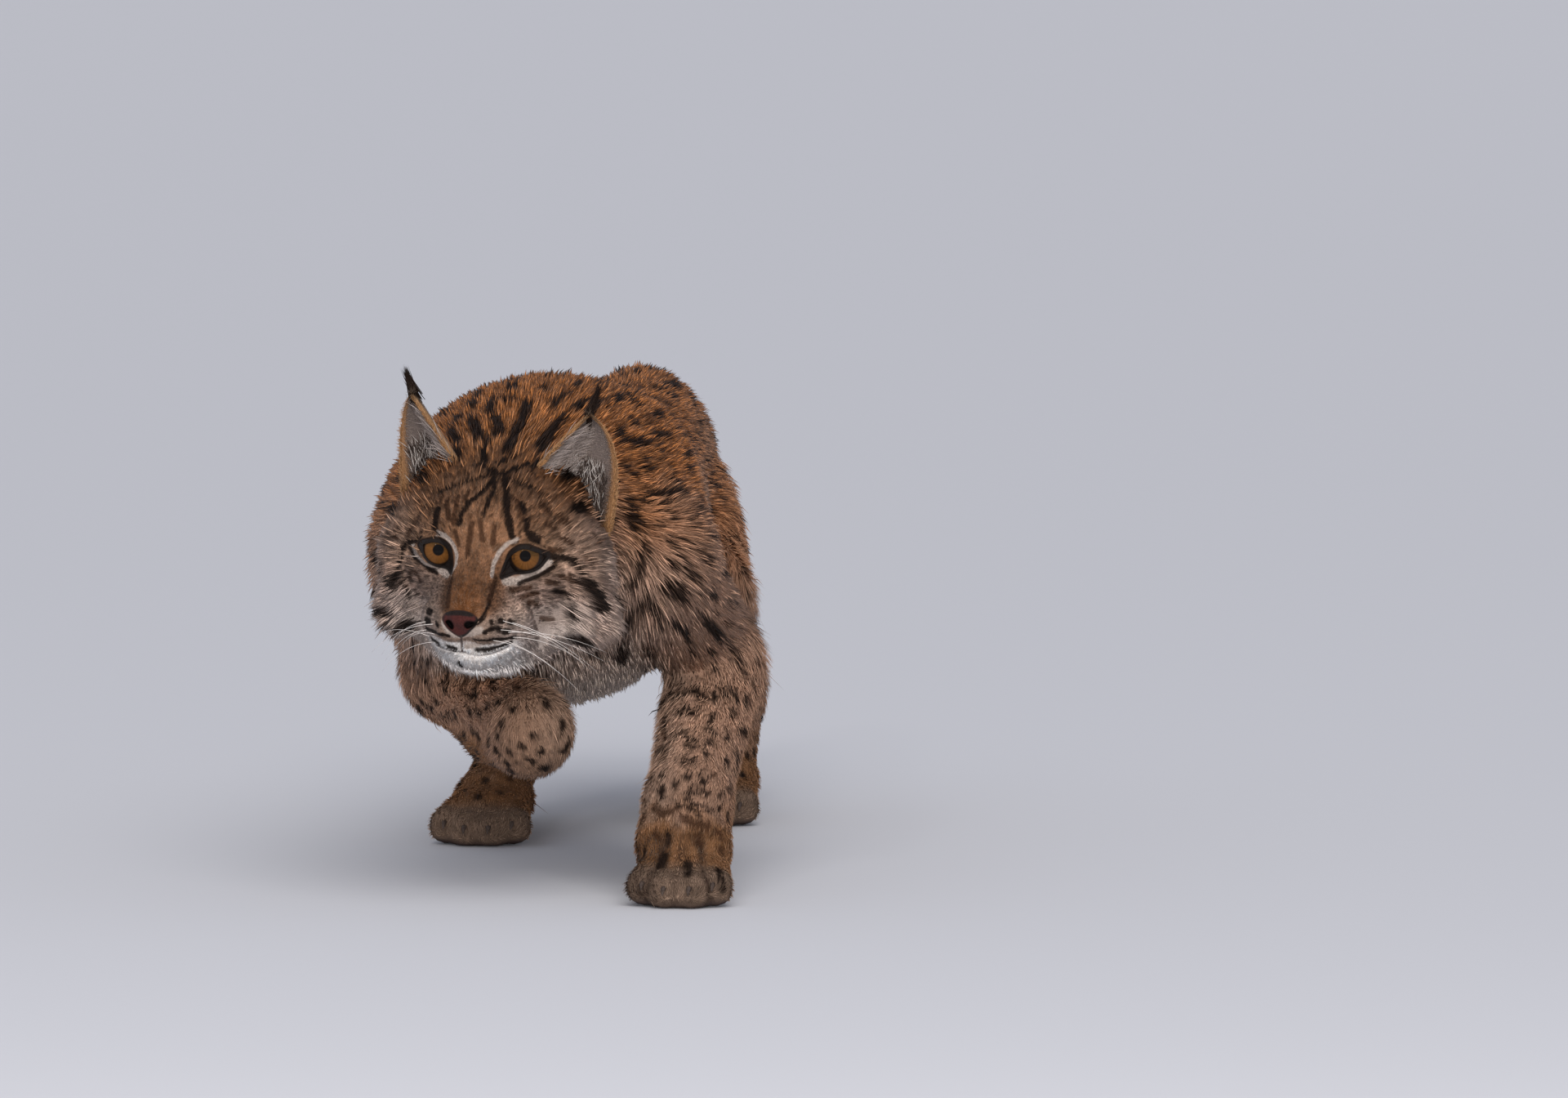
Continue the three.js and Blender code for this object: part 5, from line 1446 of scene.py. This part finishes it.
def grow(name, part, P, N, L, H, Wd, bent, clump, wander, tint, frost, stray=0.0, split=None, lit=(0.58, 0.95, 1.15)):
    """Builds one region of the coat and its pieces."""
    if not len(P):
        return
    D = fields(P)
    T = lie_of(P, N, D)
    inv, CP, CT, nc = clumped(P, T, N, clump, 40)
    cr = np.random.default_rng(11)
    spin = cr.normal(0, wander, nc)[inv] + rng.normal(0, wander * 0.55, len(P))
    S = np.cross(N, T)
    T2 = units(T * np.cos(spin)[:, None] + S * np.sin(spin)[:, None])
    grow_l = (cr.uniform(0.82, 1.16, nc)[inv]) * rng.uniform(0.8, 1.15, len(P))
    L = L * grow_l
    up = cr.uniform(0.75, 1.12, nc)[inv] * rng.uniform(0.7, 1.1, len(P))
    if stray:
        st = rng.random(len(P)) < stray
        up = np.where(st, up * 1.22, up)
        L = np.where(st, L * 1.15, L)
    H = H * up
    # tips of a clump draw together
    draw = (CP + CT * L[:, None]) - (P + T2 * L[:, None])
    draw -= N * np.sum(draw * N, 1)[:, None]
    ln = np.linalg.norm(draw, axis=1)
    draw *= (np.minimum(ln, clump) / np.maximum(ln, 1e-6))[:, None] * 0.45
    colr = tone(P + T2 * (L * 0.4)[:, None], N, D)
    br = (cr.uniform(1 - tint, 1 + tint, nc)[inv] * rng.uniform(1 - tint, 1 + tint, len(P)))[:, None]
    colr = colr * br
    light = mixc(colr * 1.7, CREAM, 0.45)
    some = frost * (0.35 + 0.65 * cr.random(nc)[inv]) * rng.random(len(P)) ** 1.3
    pale = mixc(colr * lit[2], light, some)
    # a lock is as dark as the coat where its outer half shows
    shown = P + T2 * (L * 0.74)[:, None] + draw * 0.55
    three = [colr, mixc(colr, light, some * 0.3) * lit[1], pale]
    three, _ = marked_all(three, shown, N)
    # lit scales each lock from base to tip: the darker base is partly the coat's dark hair bases, partly painted shade
    # deep in the fur; pale locks get lighter bases, painted light that lifts white fur out of its shade
    base, mid, tip = three[0] * (lit[0] + 0.32 * ss(0.35, 0.7, three[0].mean(1)))[:, None], three[1], three[2]
    parts_uv = unwrap(P, part)
    limit = (196000 // (10 if bent else 4))
    order = np.argsort(split if split is not None else P[:, 1], kind="stable")
    pieces = max(1, math.ceil(len(P) / limit))
    for i in range(pieces):
        m = order[i * len(P) // pieces:(i + 1) * len(P) // pieces]
        Hm = H[m]
        V, F, C, k = lock_mesh(P[m], N[m], T2[m], L[m], Hm, (Wd[m] if np.ndim(Wd) else Wd), base[m], mid[m], tip[m], bent, 0.5, draw[m])
        V[:, 2] = np.maximum(V[:, 2], 0.05)
        ob = mesh_of(f"{name}_{i + 1}" if pieces > 1 else name, world(V), F, C, lock_uv(parts_uv[m], k))
        own(ob, None, COAT)
    print(name, len(P), "locks in", pieces)


COAT = coat_material("lynx_coat", 0.6, 900.0)


def bare_mask(P, N, width=0.3):
    B = bare_parts(P, N)
    return (B["eye"] > 0.8) & (B["nose"] > 0.25) & (B["mouth"] > 0.6) & (B["phil"] > 0.8) & (B["sole"] < 0.3)


# the face: short straight hairs
f, P, N = sample(zone_face * (1 + 0.8 * ss(20, -10, qy)), COUNT["face"])
m = bare_mask(P, N)
P, N = P[m], N[m]
q = to_head(P)
x, y, z = np.abs(q[:, 0]), q[:, 1], q[:, 2]
near_eye = np.minimum(eye_edge(q, 1), eye_edge(q, -1))
L = 3.0 + 5.0 * ss(-12, 30, y) + 2.6 * ss(26, 52, x) * ss(5, -20, z) + 2.5 * ss(-52, -64, z)
L = L * (0.42 + 0.58 * ss(0.5, 7.0, near_eye))
nose_far = loop_distance(*pix(P), NOSE) / PXMM
L = L * (0.45 + 0.55 * ss(0, 9, np.where(y < 0, nose_far, 20)))
H = np.maximum(head_depth(q) * 0.62, 0.5) * (0.4 + 0.6 * ss(0.5, 6, near_eye))
grow("coat_face", "face", P, N, L, H, BLADE["face"], False, 2.8, 0.17, 0.30, 0.8, split=q[:, 2])

# the rest of the head
f, P, N = sample(zone_head * (1 - 0.6 * zone_ruff), COUNT["head"])
q = to_head(P)
x, y, z = np.abs(q[:, 0]), q[:, 1], q[:, 2]
L = 8.0 + 4 * ss(30, 70, y) + 8 * ss(45, 70, x) * ss(10, -30, z) + 7 * ss(-60, -85, z)
grow("coat_head", "head", P, N, L, head_depth(q) * 0.85, BLADE["head"], False, 4.4, 0.16, 0.26, 0.75, stray=0.04, split=q[:, 0])

# ruff: long locks
f, P, N = sample(zone_ruff, COUNT["ruff"])
q = to_head(P)
L = np.full(len(P), 20.0)
grow("coat_ruff", "ruff", P, N, L, head_depth(q) * 0.92, 0.9, True, 7.0, 0.15, 0.18, 0.7, stray=0.08, split=q[:, 0])

# trunk and neck
wt = W0["trunk"] * np.where(cen[:, 2] > 2, 1, 0)
for layer, count, bent, reach, high, size in (("under", COUNT["under"], False, 0.75, 0.80, 4.6), ("guard", COUNT["guard"], True, 1.0, 1.0, 5.5)):
    f, P, N = sample(wt * (1 + 0.5 * ss(60, -60, cen[:, 1])), count)
    chest = ss(-60, -110, P[:, 1]) * ss(255, 215, P[:, 2])
    belly = ss(-0.2, -0.8, N[:, 2])
    L = (15.5 + 9 * chest + 7 * belly) * reach
    grow("coat_" + layer, "trunk", P, N, L, (8.3 + 1.5 * chest) * high, BLADE["body"] * (1.0 if bent else 1.12), bent, size, 0.15, 0.20, 0.7, stray=0.04)

# tail
f, P, N = sample(W0["tail"], COUNT["tail"])
grow("coat_tail", "tail", P, N, np.full(len(P), 15.0), 7.8, 1.1, False, 7.0, 0.15, 0.18, 0.35, stray=0.06)

# legs and paws
leg_area = {s: float((area * W0[s]).sum()) for s in LEGS}
for s in LEGS:
    c = int(COUNT["legs"] * leg_area[s] / sum(leg_area.values()))
    f, P, N = sample(W0[s] * (1 + 1.2 * ss(90, 30, cen[:, 2])), c)
    B = bare_parts(P, N)
    m = (B["sole"] < 0.3) & (P[:, 2] > 1.0)
    P, N = P[m], N[m]
    z = P[:, 2]
    up = ss(100, 200, z) if s == "foreleg_right" else ss(30, 170, z)
    L = 7.0 + 10.0 * up
    H = leg_depth(s, P) * 0.86
    grow("coat_" + s, s, P, N, L, H, BLADE["leg"] + 0.2 * up, False, 5.0, 0.15, 0.20, 0.6, stray=0.04)


# ---------------------------------------------------------------- hair of the ears
def ear_hair(s):
    V, F, c, ring, pos, inner = EARS[s["name"]]
    side = s["side"]
    rg = np.random.default_rng(5 + side)
    me_n = np.zeros_like(V)
    fn = np.cross(V[F[:, 1]] - V[F[:, 0]], V[F[:, 2]] - V[F[:, 0]])
    for i in range(3):
        np.add.at(me_n, F[:, i], fn)
    me_n = units(me_n)
    fa = np.linalg.norm(fn, axis=1) / 2
    fr, fi, fp = ring[F].mean(1), inner[F].mean(1), pos[F].mean(1)
    up_dir = from_head(np.array(s["tip"], float)) - from_head(np.array(s["inner"], float) * 0.5 + np.array(s["outer"], float) * 0.5)
    up_dir = unit(up_dir)
    out_dir = unit(from_head(np.array(s["outer"], float)) - from_head(np.array(s["inner"], float)))
    back = unit(HEAD_R @ np.array([0.1 * side, 1.0, 0.0]))
    allp = []

    def put(weight, count, L, H, W, direction, colf, bent=False, clump=3.0, frost=0.2, spread=0.15):
        pr = fa * weight
        cum = np.cumsum(pr)
        f = np.minimum(np.searchsorted(cum, (np.arange(count) + rg.random(count)) / count * cum[-1]), len(F) - 1)
        r1, r2 = np.sqrt(rg.random(count)), rg.random(count)
        w = np.stack([1 - r1, r1 * (1 - r2), r1 * r2], 1)
        P = np.einsum("ij,ijk->ik", w, V[F[f]])
        N = units(np.einsum("ij,ijk->ik", w, me_n[F[f]]))
        rr, pp = (w * ring[F[f]]).sum(1), (w * pos[F[f]]).sum(1)
        T = direction(P, N, rr, pp)
        T = units(T - N * np.sum(T * N, 1)[:, None])
        T = units(T + np.cross(N, T) * rg.normal(0, spread, count)[:, None])
        col = colf(rr, pp, count)
        col = col * rg.uniform(0.78, 1.22, count)[:, None]
        tip = mixc(col, CREAM, frost * rg.random(count))
        Lh = (L(rr, pp) if callable(L) else np.full(count, L)) * rg.uniform(0.75, 1.2, count)
        Hh = (H(rr, pp) if callable(H) else np.full(count, H)) * rg.uniform(0.6, 1.2, count)
        uv = np.stack([0.05 + 0.9 * pp, 0.03 + 0.94 * rr], 1)
        # each lock's base is painted at 0.6 of its colour: partly the dark hair bases, partly painted shade deep in
        # the ear's fur
        allp.append((lock_mesh(P, N, T, Lh, Hh, W, col * 0.6, col, tip, bent, 0.3), uv, bent))

    def backcol(rr, pp, n):
        e = np.minimum(pp, 1 - pp)
        c = mixc(np.tile(np.array(EAR_BACK), (n, 1)), (0.50, 0.44, 0.40), np.exp(-((rr - 0.48) / 0.16) ** 2) * ss(0.16, 0.36, e) * 0.9)
        c = mixc(c, BLACK, ss(0.62, 0.84, rr))
        return mixc(c, (0.44, 0.24, 0.11), ss(0.10, 0.03, e) * ss(0.98, 0.8, rr))

    def innercol(rr, pp, n):
        e = np.minimum(pp, 1 - pp)
        # painted shade in the ear's hollow, low down and towards its outer side
        c = mixc(np.tile(np.array(EAR_GREY), (n, 1)), (0.07, 0.05, 0.045), ss(0.52, 0.2, rr) * ss(0.4, 0.7, pp) * 0.8)
        c = mixc(c, (0.33, 0.165, 0.070), ss(0.08, 0.03, e))
        return mixc(c, BLACK, ss(0.94, 0.98, rr))
    # the back and rim: short, flat, upward
    put((fi < 0.5) * (fr > 0.12), 5200, 6.0, 1.5, 0.7, lambda P, N, rr, pp: np.tile(up_dir, (len(P), 1)) + 0.25 * back, backcol)
    # the inside: short nap
    put((fi > 0.5) * (fr > 0.15), 3000, 4.5, 0.8, 0.6, lambda P, N, rr, pp: np.tile(up_dir * 0.8 + out_dir * 0.8, (len(P), 1)), innercol)
    # long pale hair from the inner edge, sweeping up and outward over the hollow
    put((fi > 0.5) * (fr > 0.14) * (fr < 0.72) * (fp < 0.34), 900, lambda rr, pp: 24 - 12 * rr, lambda rr, pp: 4.5 + 0 * rr, 0.55,
        lambda P, N, rr, pp: np.tile(out_dir * 1.0 + up_dir * 0.75, (len(P), 1)),
        lambda rr, pp, n: np.tile((0.30, 0.25, 0.23), (n, 1)), bent=True, frost=0.4, spread=0.2)
    put((fi > 0.5) * (fr > 0.12) * (fr < 0.40) * (fp >= 0.3) * (fp < 0.9), 380, 14.0, 3.5, 0.55,
        lambda P, N, rr, pp: np.tile(up_dir * 0.9 - out_dir * 0.2, (len(P), 1)),
        lambda rr, pp, n: np.where(rg.random(n)[:, None] < 0.45, np.tile((0.50, 0.45, 0.42), (n, 1)), np.tile((0.05, 0.035, 0.03), (n, 1))), bent=True, frost=0.2, spread=0.35)
    # the rim's fringe
    put((fr > 0.1) * (fr < 0.9) * (np.minimum(fp, 1 - fp) < 0.06), 900, 5.0, 1.2, 0.5,
        lambda P, N, rr, pp: np.tile(up_dir, (len(P), 1)) + np.where(pp[:, None] > 0.5, out_dir, -out_dir) * 0.35, lambda rr, pp, n: mixc(np.tile((0.36, 0.19, 0.085), (n, 1)), BLACK, ss(0.75, 0.9, rr)))
    # the tuft: a curved brush of black hairs at the tip
    n = 170
    tip, tuft = np.array(s["tip"], float), np.array(s["tuft"], float)
    R = ear_loft(s)[-1].mean(0)
    start = R + rg.normal(0, 1.3, (n, 3)) - (tip - R) * rg.uniform(0.5, 5.0, n)[:, None]
    start[:, 2] -= rg.uniform(0, 9, n)
    ax = unit(tip - np.array(s["edge"], float)) * 0.5 + unit(tuft - tip)
    endp = tuft + rg.normal(0, 1.2, (n, 3)) - (tuft - tip) * (rg.random(n) ** 1.5 * 0.55)[:, None]
    a, b = from_head(start), from_head(endp)
    T = units(b - a)
    Lh = np.linalg.norm(b - a, axis=1)
    N = np.tile(unit(HEAD_R @ np.array([0, -1.0, 0.2])), (n, 1))
    N = units(N - T * np.sum(N * T, 1)[:, None])
    col = np.tile(np.array(BLACK), (n, 1)) * rg.uniform(0.6, 1.4, n)[:, None]
    bow = unit(tip - R)
    curl = np.zeros((n, 3))
    allp.append((lock_mesh(a, N, T, Lh, np.full(n, 0.8), 0.6, col, col, col, True, 0.0, curl), np.tile([[0.5, 0.985]], (n, 1)), True))
    Vs, Fs, Cs, Us, o = [], [], [], [], 0
    for (vv, ff, cc, k), uv, bent in allp:
        Vs.append(vv); Fs.append(ff + o); Cs.append(cc); Us.append(lock_uv(uv, k)); o += len(vv)
    ob = mesh_of("coat_" + s["name"], world(np.concatenate(Vs)), np.concatenate(Fs), np.concatenate(Cs), np.concatenate(Us))
    own(ob, None, COAT)


for s in SPEC["ears"]:
    ear_hair(s)


# ---------------------------------------------------------------- eyes
def eye_piece(side):
    """A ball with a raised cornea. Iris, rim and pupil are painted ring by ring on its front."""
    C = from_head(EYES[side])
    g = BACK
    e1, e2 = RIGHT, UP
    iris, pupil = 10.1, 3.5
    fi = math.asin(iris / EYE_R)
    polar = np.concatenate([np.linspace(0.0, fi * 1.06, 64)[1:], np.linspace(fi * 1.06, math.pi, 30)[1:-1]])
    n = 128
    ang = np.linspace(0, 2 * math.pi, n, endpoint=False)
    V, col = [C + g * (EYE_R + 1.0)], [(0.004, 0.003, 0.003)]
    rg = np.random.default_rng(3 + side)
    k = np.arange(n)
    fib = sum(rg.uniform(0.4, 1) * np.sin(ang * w + rg.uniform(0, 6.28)) for w in (23, 37, 53, 61, 19)) / 4
    fib2 = sum(rg.uniform(0.4, 1) * np.sin(ang * w + rg.uniform(0, 6.28)) for w in (9, 14, 31)) / 3
    for f in polar:
        rad = EYE_R + 1.0 * max(0, 1 - (f / fi) ** 2) ** 1.2
        r = EYE_R * math.sin(min(f, math.pi / 2))
        d = math.cos(f) * g[None] + math.sin(f) * (np.cos(ang)[:, None] * e1 + np.sin(ang)[:, None] * e2)
        V.append(C + d * rad)
        c = np.zeros((n, 3))
        if f > math.pi / 2:
            r = 99
        t = np.clip((r - pupil) / (iris - pupil), 0, 1)
        amber, olive_in_lid_shade, brown = np.array((0.120, 0.048, 0.012)), np.array((0.034, 0.020, 0.007)), np.array((0.050, 0.020, 0.006))
        # the upper iris is painted darker olive: partly the iris's own olive, partly painted shade of the upper lid
        olive_and_lid_shade = ss(-0.35, 0.85, np.sin(ang + 0.35))
        cc = mixc(np.tile(amber, (n, 1)), olive_in_lid_shade, olive_and_lid_shade * 0.9)
        cc = mixc(cc, brown, ss(0.16, 0.0, t) * 0.5 + 0 * ang)
        cc = cc * (1 + 0.26 * fib * ss(0, 0.25, t) + 0.15 * fib2)[:, None]
        cc = mixc(cc, (0.012, 0.008, 0.006), ss(0.74, 0.99, t) + 0 * ang)
        cc = mixc(cc, (0.003, 0.0025, 0.0025), ss(pupil + 0.25, pupil - 0.12, r) + 0 * ang)
        cc = mixc(cc, (0.010, 0.007, 0.006), ss(iris, iris + 0.5, r) + 0 * ang)
        col.append(np.clip(cc, 0, 1))
    V = [np.array([V[0]])] + [v for v in V[1:]] + [np.array([C - g * EYE_R])]
    col = [np.array([col[0]])] + col[1:] + [np.array([(0.03, 0.02, 0.017)])]
    V, col = np.concatenate(V), np.concatenate(col)
    F = []
    m = len(polar)
    for j in range(n):
        j2 = (j + 1) % n
        F.append((0, 1 + j, 1 + j2))
        for i in range(m - 1):
            a, b = 1 + i * n + j, 1 + i * n + j2
            F += [(a, a + n, b + n), (a, b + n, b)]
        F.append((1 + (m - 1) * n + j, len(V) - 1, 1 + (m - 1) * n + j2))
    F = np.array(F)
    a, b, c = V[F[:, 0]] - C, V[F[:, 1]] - C, V[F[:, 2]] - C
    if np.sum(a * np.cross(b, c)) < 0:
        F = F[:, ::-1]
    nm = "left" if side > 0 else "right"
    ob = mesh_of("eye_ball_" + nm, world(V), F, col)
    own(ob, ["eye_" + nm], EYE)


def eye_material():
    m, nt, b = principled("lynx_eye")
    at = node(nt, "ShaderNodeAttribute", attribute_name="Col")
    tc = node(nt, "ShaderNodeTexCoord")
    nz = node(nt, "ShaderNodeTexNoise")
    nz.inputs["Scale"].default_value = 2600.0
    nz.inputs["Detail"].default_value = 3.0
    mr = node(nt, "ShaderNodeMapRange")
    mr.inputs["From Min"].default_value, mr.inputs["From Max"].default_value = 0.3, 0.7
    mr.inputs["To Min"].default_value, mr.inputs["To Max"].default_value = 0.8, 1.2
    sc = node(nt, "ShaderNodeVectorMath", operation="SCALE")
    L = nt.links.new
    L(tc.outputs["Object"], nz.inputs["Vector"])
    L(nz.outputs["Fac"], mr.inputs["Value"])
    L(at.outputs["Color"], sc.inputs[0])
    L(mr.outputs["Result"], sc.inputs["Scale"])
    L(sc.outputs[0], b.inputs["Base Color"])
    b.inputs["Roughness"].default_value = 0.5
    b.inputs["Specular IOR Level"].default_value = 0.05
    b.inputs["Coat Weight"].default_value = 0.22
    b.inputs["Coat Roughness"].default_value = 0.03
    b.inputs["Coat IOR"].default_value = 1.38
    return m


EYE = eye_material()
for side in (1, -1):
    eye_piece(side)


# ---------------------------------------------------------------- whiskers and claws
def tube(points, radii, sides=6):
    P = np.array(points, float)
    T = units(np.gradient(P, axis=0))
    up = np.array([0.1, 0.2, 1.0])
    V = []
    for p, t, r in zip(P, T, radii):
        a = unit(np.cross(t, up))
        b = np.cross(t, a)
        an = np.linspace(0, 2 * math.pi, sides, endpoint=False)
        V.append(p + r * (np.cos(an)[:, None] * a + np.sin(an)[:, None] * b))
    n = len(P)
    V = np.concatenate(V + [P[:1], P[-1:]])
    F = []
    for i in range(n - 1):
        for j in range(sides):
            k = (j + 1) % sides
            a, b = i * sides + j, i * sides + k
            F += [(a, b, b + sides), (a, b + sides, a + sides)]
    for j in range(sides):
        k = (j + 1) % sides
        F += [(k, j, n * sides), ((n - 1) * sides + j, (n - 1) * sides + k, n * sides + 1)]
    F = np.array(F)
    c = V.mean(0)
    a, b, cc = V[F[:, 0]] - c, V[F[:, 1]] - c, V[F[:, 2]] - c
    if np.sum(a * np.cross(b, cc)) < 0:
        F = F[:, ::-1]
    return V, F


def joined_piece(name, pairs, col, mat):
    Vs, Fs, Cs, o = [], [], [], 0
    for (V, F), c in zip(pairs, col):
        Vs.append(V); Fs.append(F + o); Cs.append(np.tile(np.array(c), (len(V), 1))); o += len(V)
    ob = mesh_of(name, world(np.concatenate(Vs)), np.concatenate(Fs), np.concatenate(Cs))
    own(ob, None, mat)


hair, hcol = [], []
wr = np.random.default_rng(21)
for side in (1, -1):
    starts = [(616, 760), (627, 762), (613, 771), (622, 774), (604, 784), (618, 784), (628, 780)] if side > 0 else \
        [(521, 761), (530, 764), (522, 771), (532, 776), (529, 786), (526, 779)]
    c = cast([s[0] for s in starts], [s[1] for s in starts])
    for p in c:
        if np.isnan(p).any():
            continue
        q = to_head(p[None])[0]
        Lw = wr.uniform(46, 74)
        d = unit([side * wr.uniform(0.75, 1.0), wr.uniform(0.25, 0.6), wr.uniform(-0.45, 0.05)])
        pts = []
        for t in np.linspace(0, 1, 12):
            w = q + d * Lw * t + np.array([side * -4.0, 9.0, -22.0]) * t * t
            pts.append(from_head(w[None])[0])
        pts[0] = pts[0] + BACK * -1.5
        hair.append(tube(pts, np.linspace(0.20, 0.05, 12)))
        hcol.append((0.70, 0.64, 0.60))
WHISK = coat_material("lynx_whisker", 0.4, 700.0, (0.92, 1.06))
joined_piece("whiskers", hair, hcol, WHISK)

claws, ccol = [], []
for s in ("foreleg_left", "hindleg_left", "hindleg_right"):
    for t in toes(PAWS[s]):
        b = np.array(t["to"], float)
        a = b + np.array([0, -t["r1"][0] + 3.2, 0.5])
        pts = [a + np.array([0, -7.0 * u, 1.5 + 1.6 * u - 6.0 * u * u]) for u in np.linspace(0, 1, 8)]
        claws.append(tube(pts, [1.9, 1.9, 1.8, 1.6, 1.35, 1.0, 0.65, 0.15], 8))
        ccol.append((0.055, 0.040, 0.034))
CLAW = coat_material("lynx_claw", 0.35, 500.0, (0.7, 1.3))
joined_piece("claws", claws, ccol, CLAW)

# ---------------------------------------------------------------- the floor, the light and the view
bpy.ops.mesh.primitive_plane_add(size=90, location=(0, 30.0, -0.0004))
floor = bpy.context.object
floor.name = "floor"
fm, nt, b = principled("pale_floor")
nz = node(nt, "ShaderNodeTexNoise")
nz.inputs["Scale"].default_value = 6.0
rp = node(nt, "ShaderNodeValToRGB")
rp.color_ramp.elements[0].color = (0.54, 0.54, 0.57, 1)
rp.color_ramp.elements[1].color = (0.59, 0.59, 0.62, 1)
nt.links.new(nz.outputs["Fac"], rp.inputs["Fac"])
nt.links.new(rp.outputs["Color"], b.inputs["Base Color"])
b.inputs["Roughness"].default_value = 0.85
floor.data.materials.append(fm)

sc = bpy.context.scene
w = bpy.data.worlds.new("soft_sky")
w.use_nodes = True
bg = w.node_tree.nodes["Background"]
bg.inputs["Color"].default_value = (0.80, 0.84, 0.95, 1)
bg.inputs["Strength"].default_value = 0.55
sc.world = w
sc.view_settings.view_transform = "Standard"


def area_light(name, at, to, size, power, col=(1, 1, 1)):
    d = bpy.data.lights.new(name, "AREA")
    d.shape = "RECTANGLE"
    d.size, d.size_y = size
    d.energy = power
    d.color = col
    o = bpy.data.objects.new(name, d)
    bpy.context.scene.collection.objects.link(o)
    o.location = at
    v = np.array(to, float) - np.array(at, float)
    from mathutils import Vector
    o.rotation_euler = Vector(v).to_track_quat("-Z", "Y").to_euler()
    return o


sun = bpy.data.lights.new("soft_sun", "SUN")
sun.energy, sun.angle, sun.color = 1.85, math.radians(50), (1.0, 0.975, 0.94)
so = bpy.data.objects.new("soft_sun", sun)
sc.collection.objects.link(so)
so.rotation_euler = (math.radians(38), math.radians(14), 0)
so.visible_glossy = False
panel = area_light("front_panel", (0.6, -3.4, 0.38), (0, -0.3, 0.20), (2.6, 0.6), 68, (1.0, 0.965, 0.93))
panel.visible_glossy = False
area_light("glint_panel", (-0.9, -3.0, 2.6), (0, -0.4, 0.2), (0.35, 0.35), 7)

cam = bpy.data.cameras.new("view")
co_ = bpy.data.objects.new("view", cam)
sc.collection.objects.link(co_)
from mathutils import Matrix, Vector
R = Matrix((RIGHT.tolist(), UP.tolist(), BACK.tolist())).transposed().to_4x4()
R.translation = Vector(world(EYEPOINT).tolist())
co_.matrix_world = R
cam.sensor_fit = "HORIZONTAL"
cam.sensor_width = 36.0
cam.lens = CAM["F"] / CAM["w"] * 36.0
cam.clip_end = 60
cam.dof.use_dof = False
sc.camera = co_

total = sum(len(o.data.polygons) for o in MADE)
print("triangles in all", total)
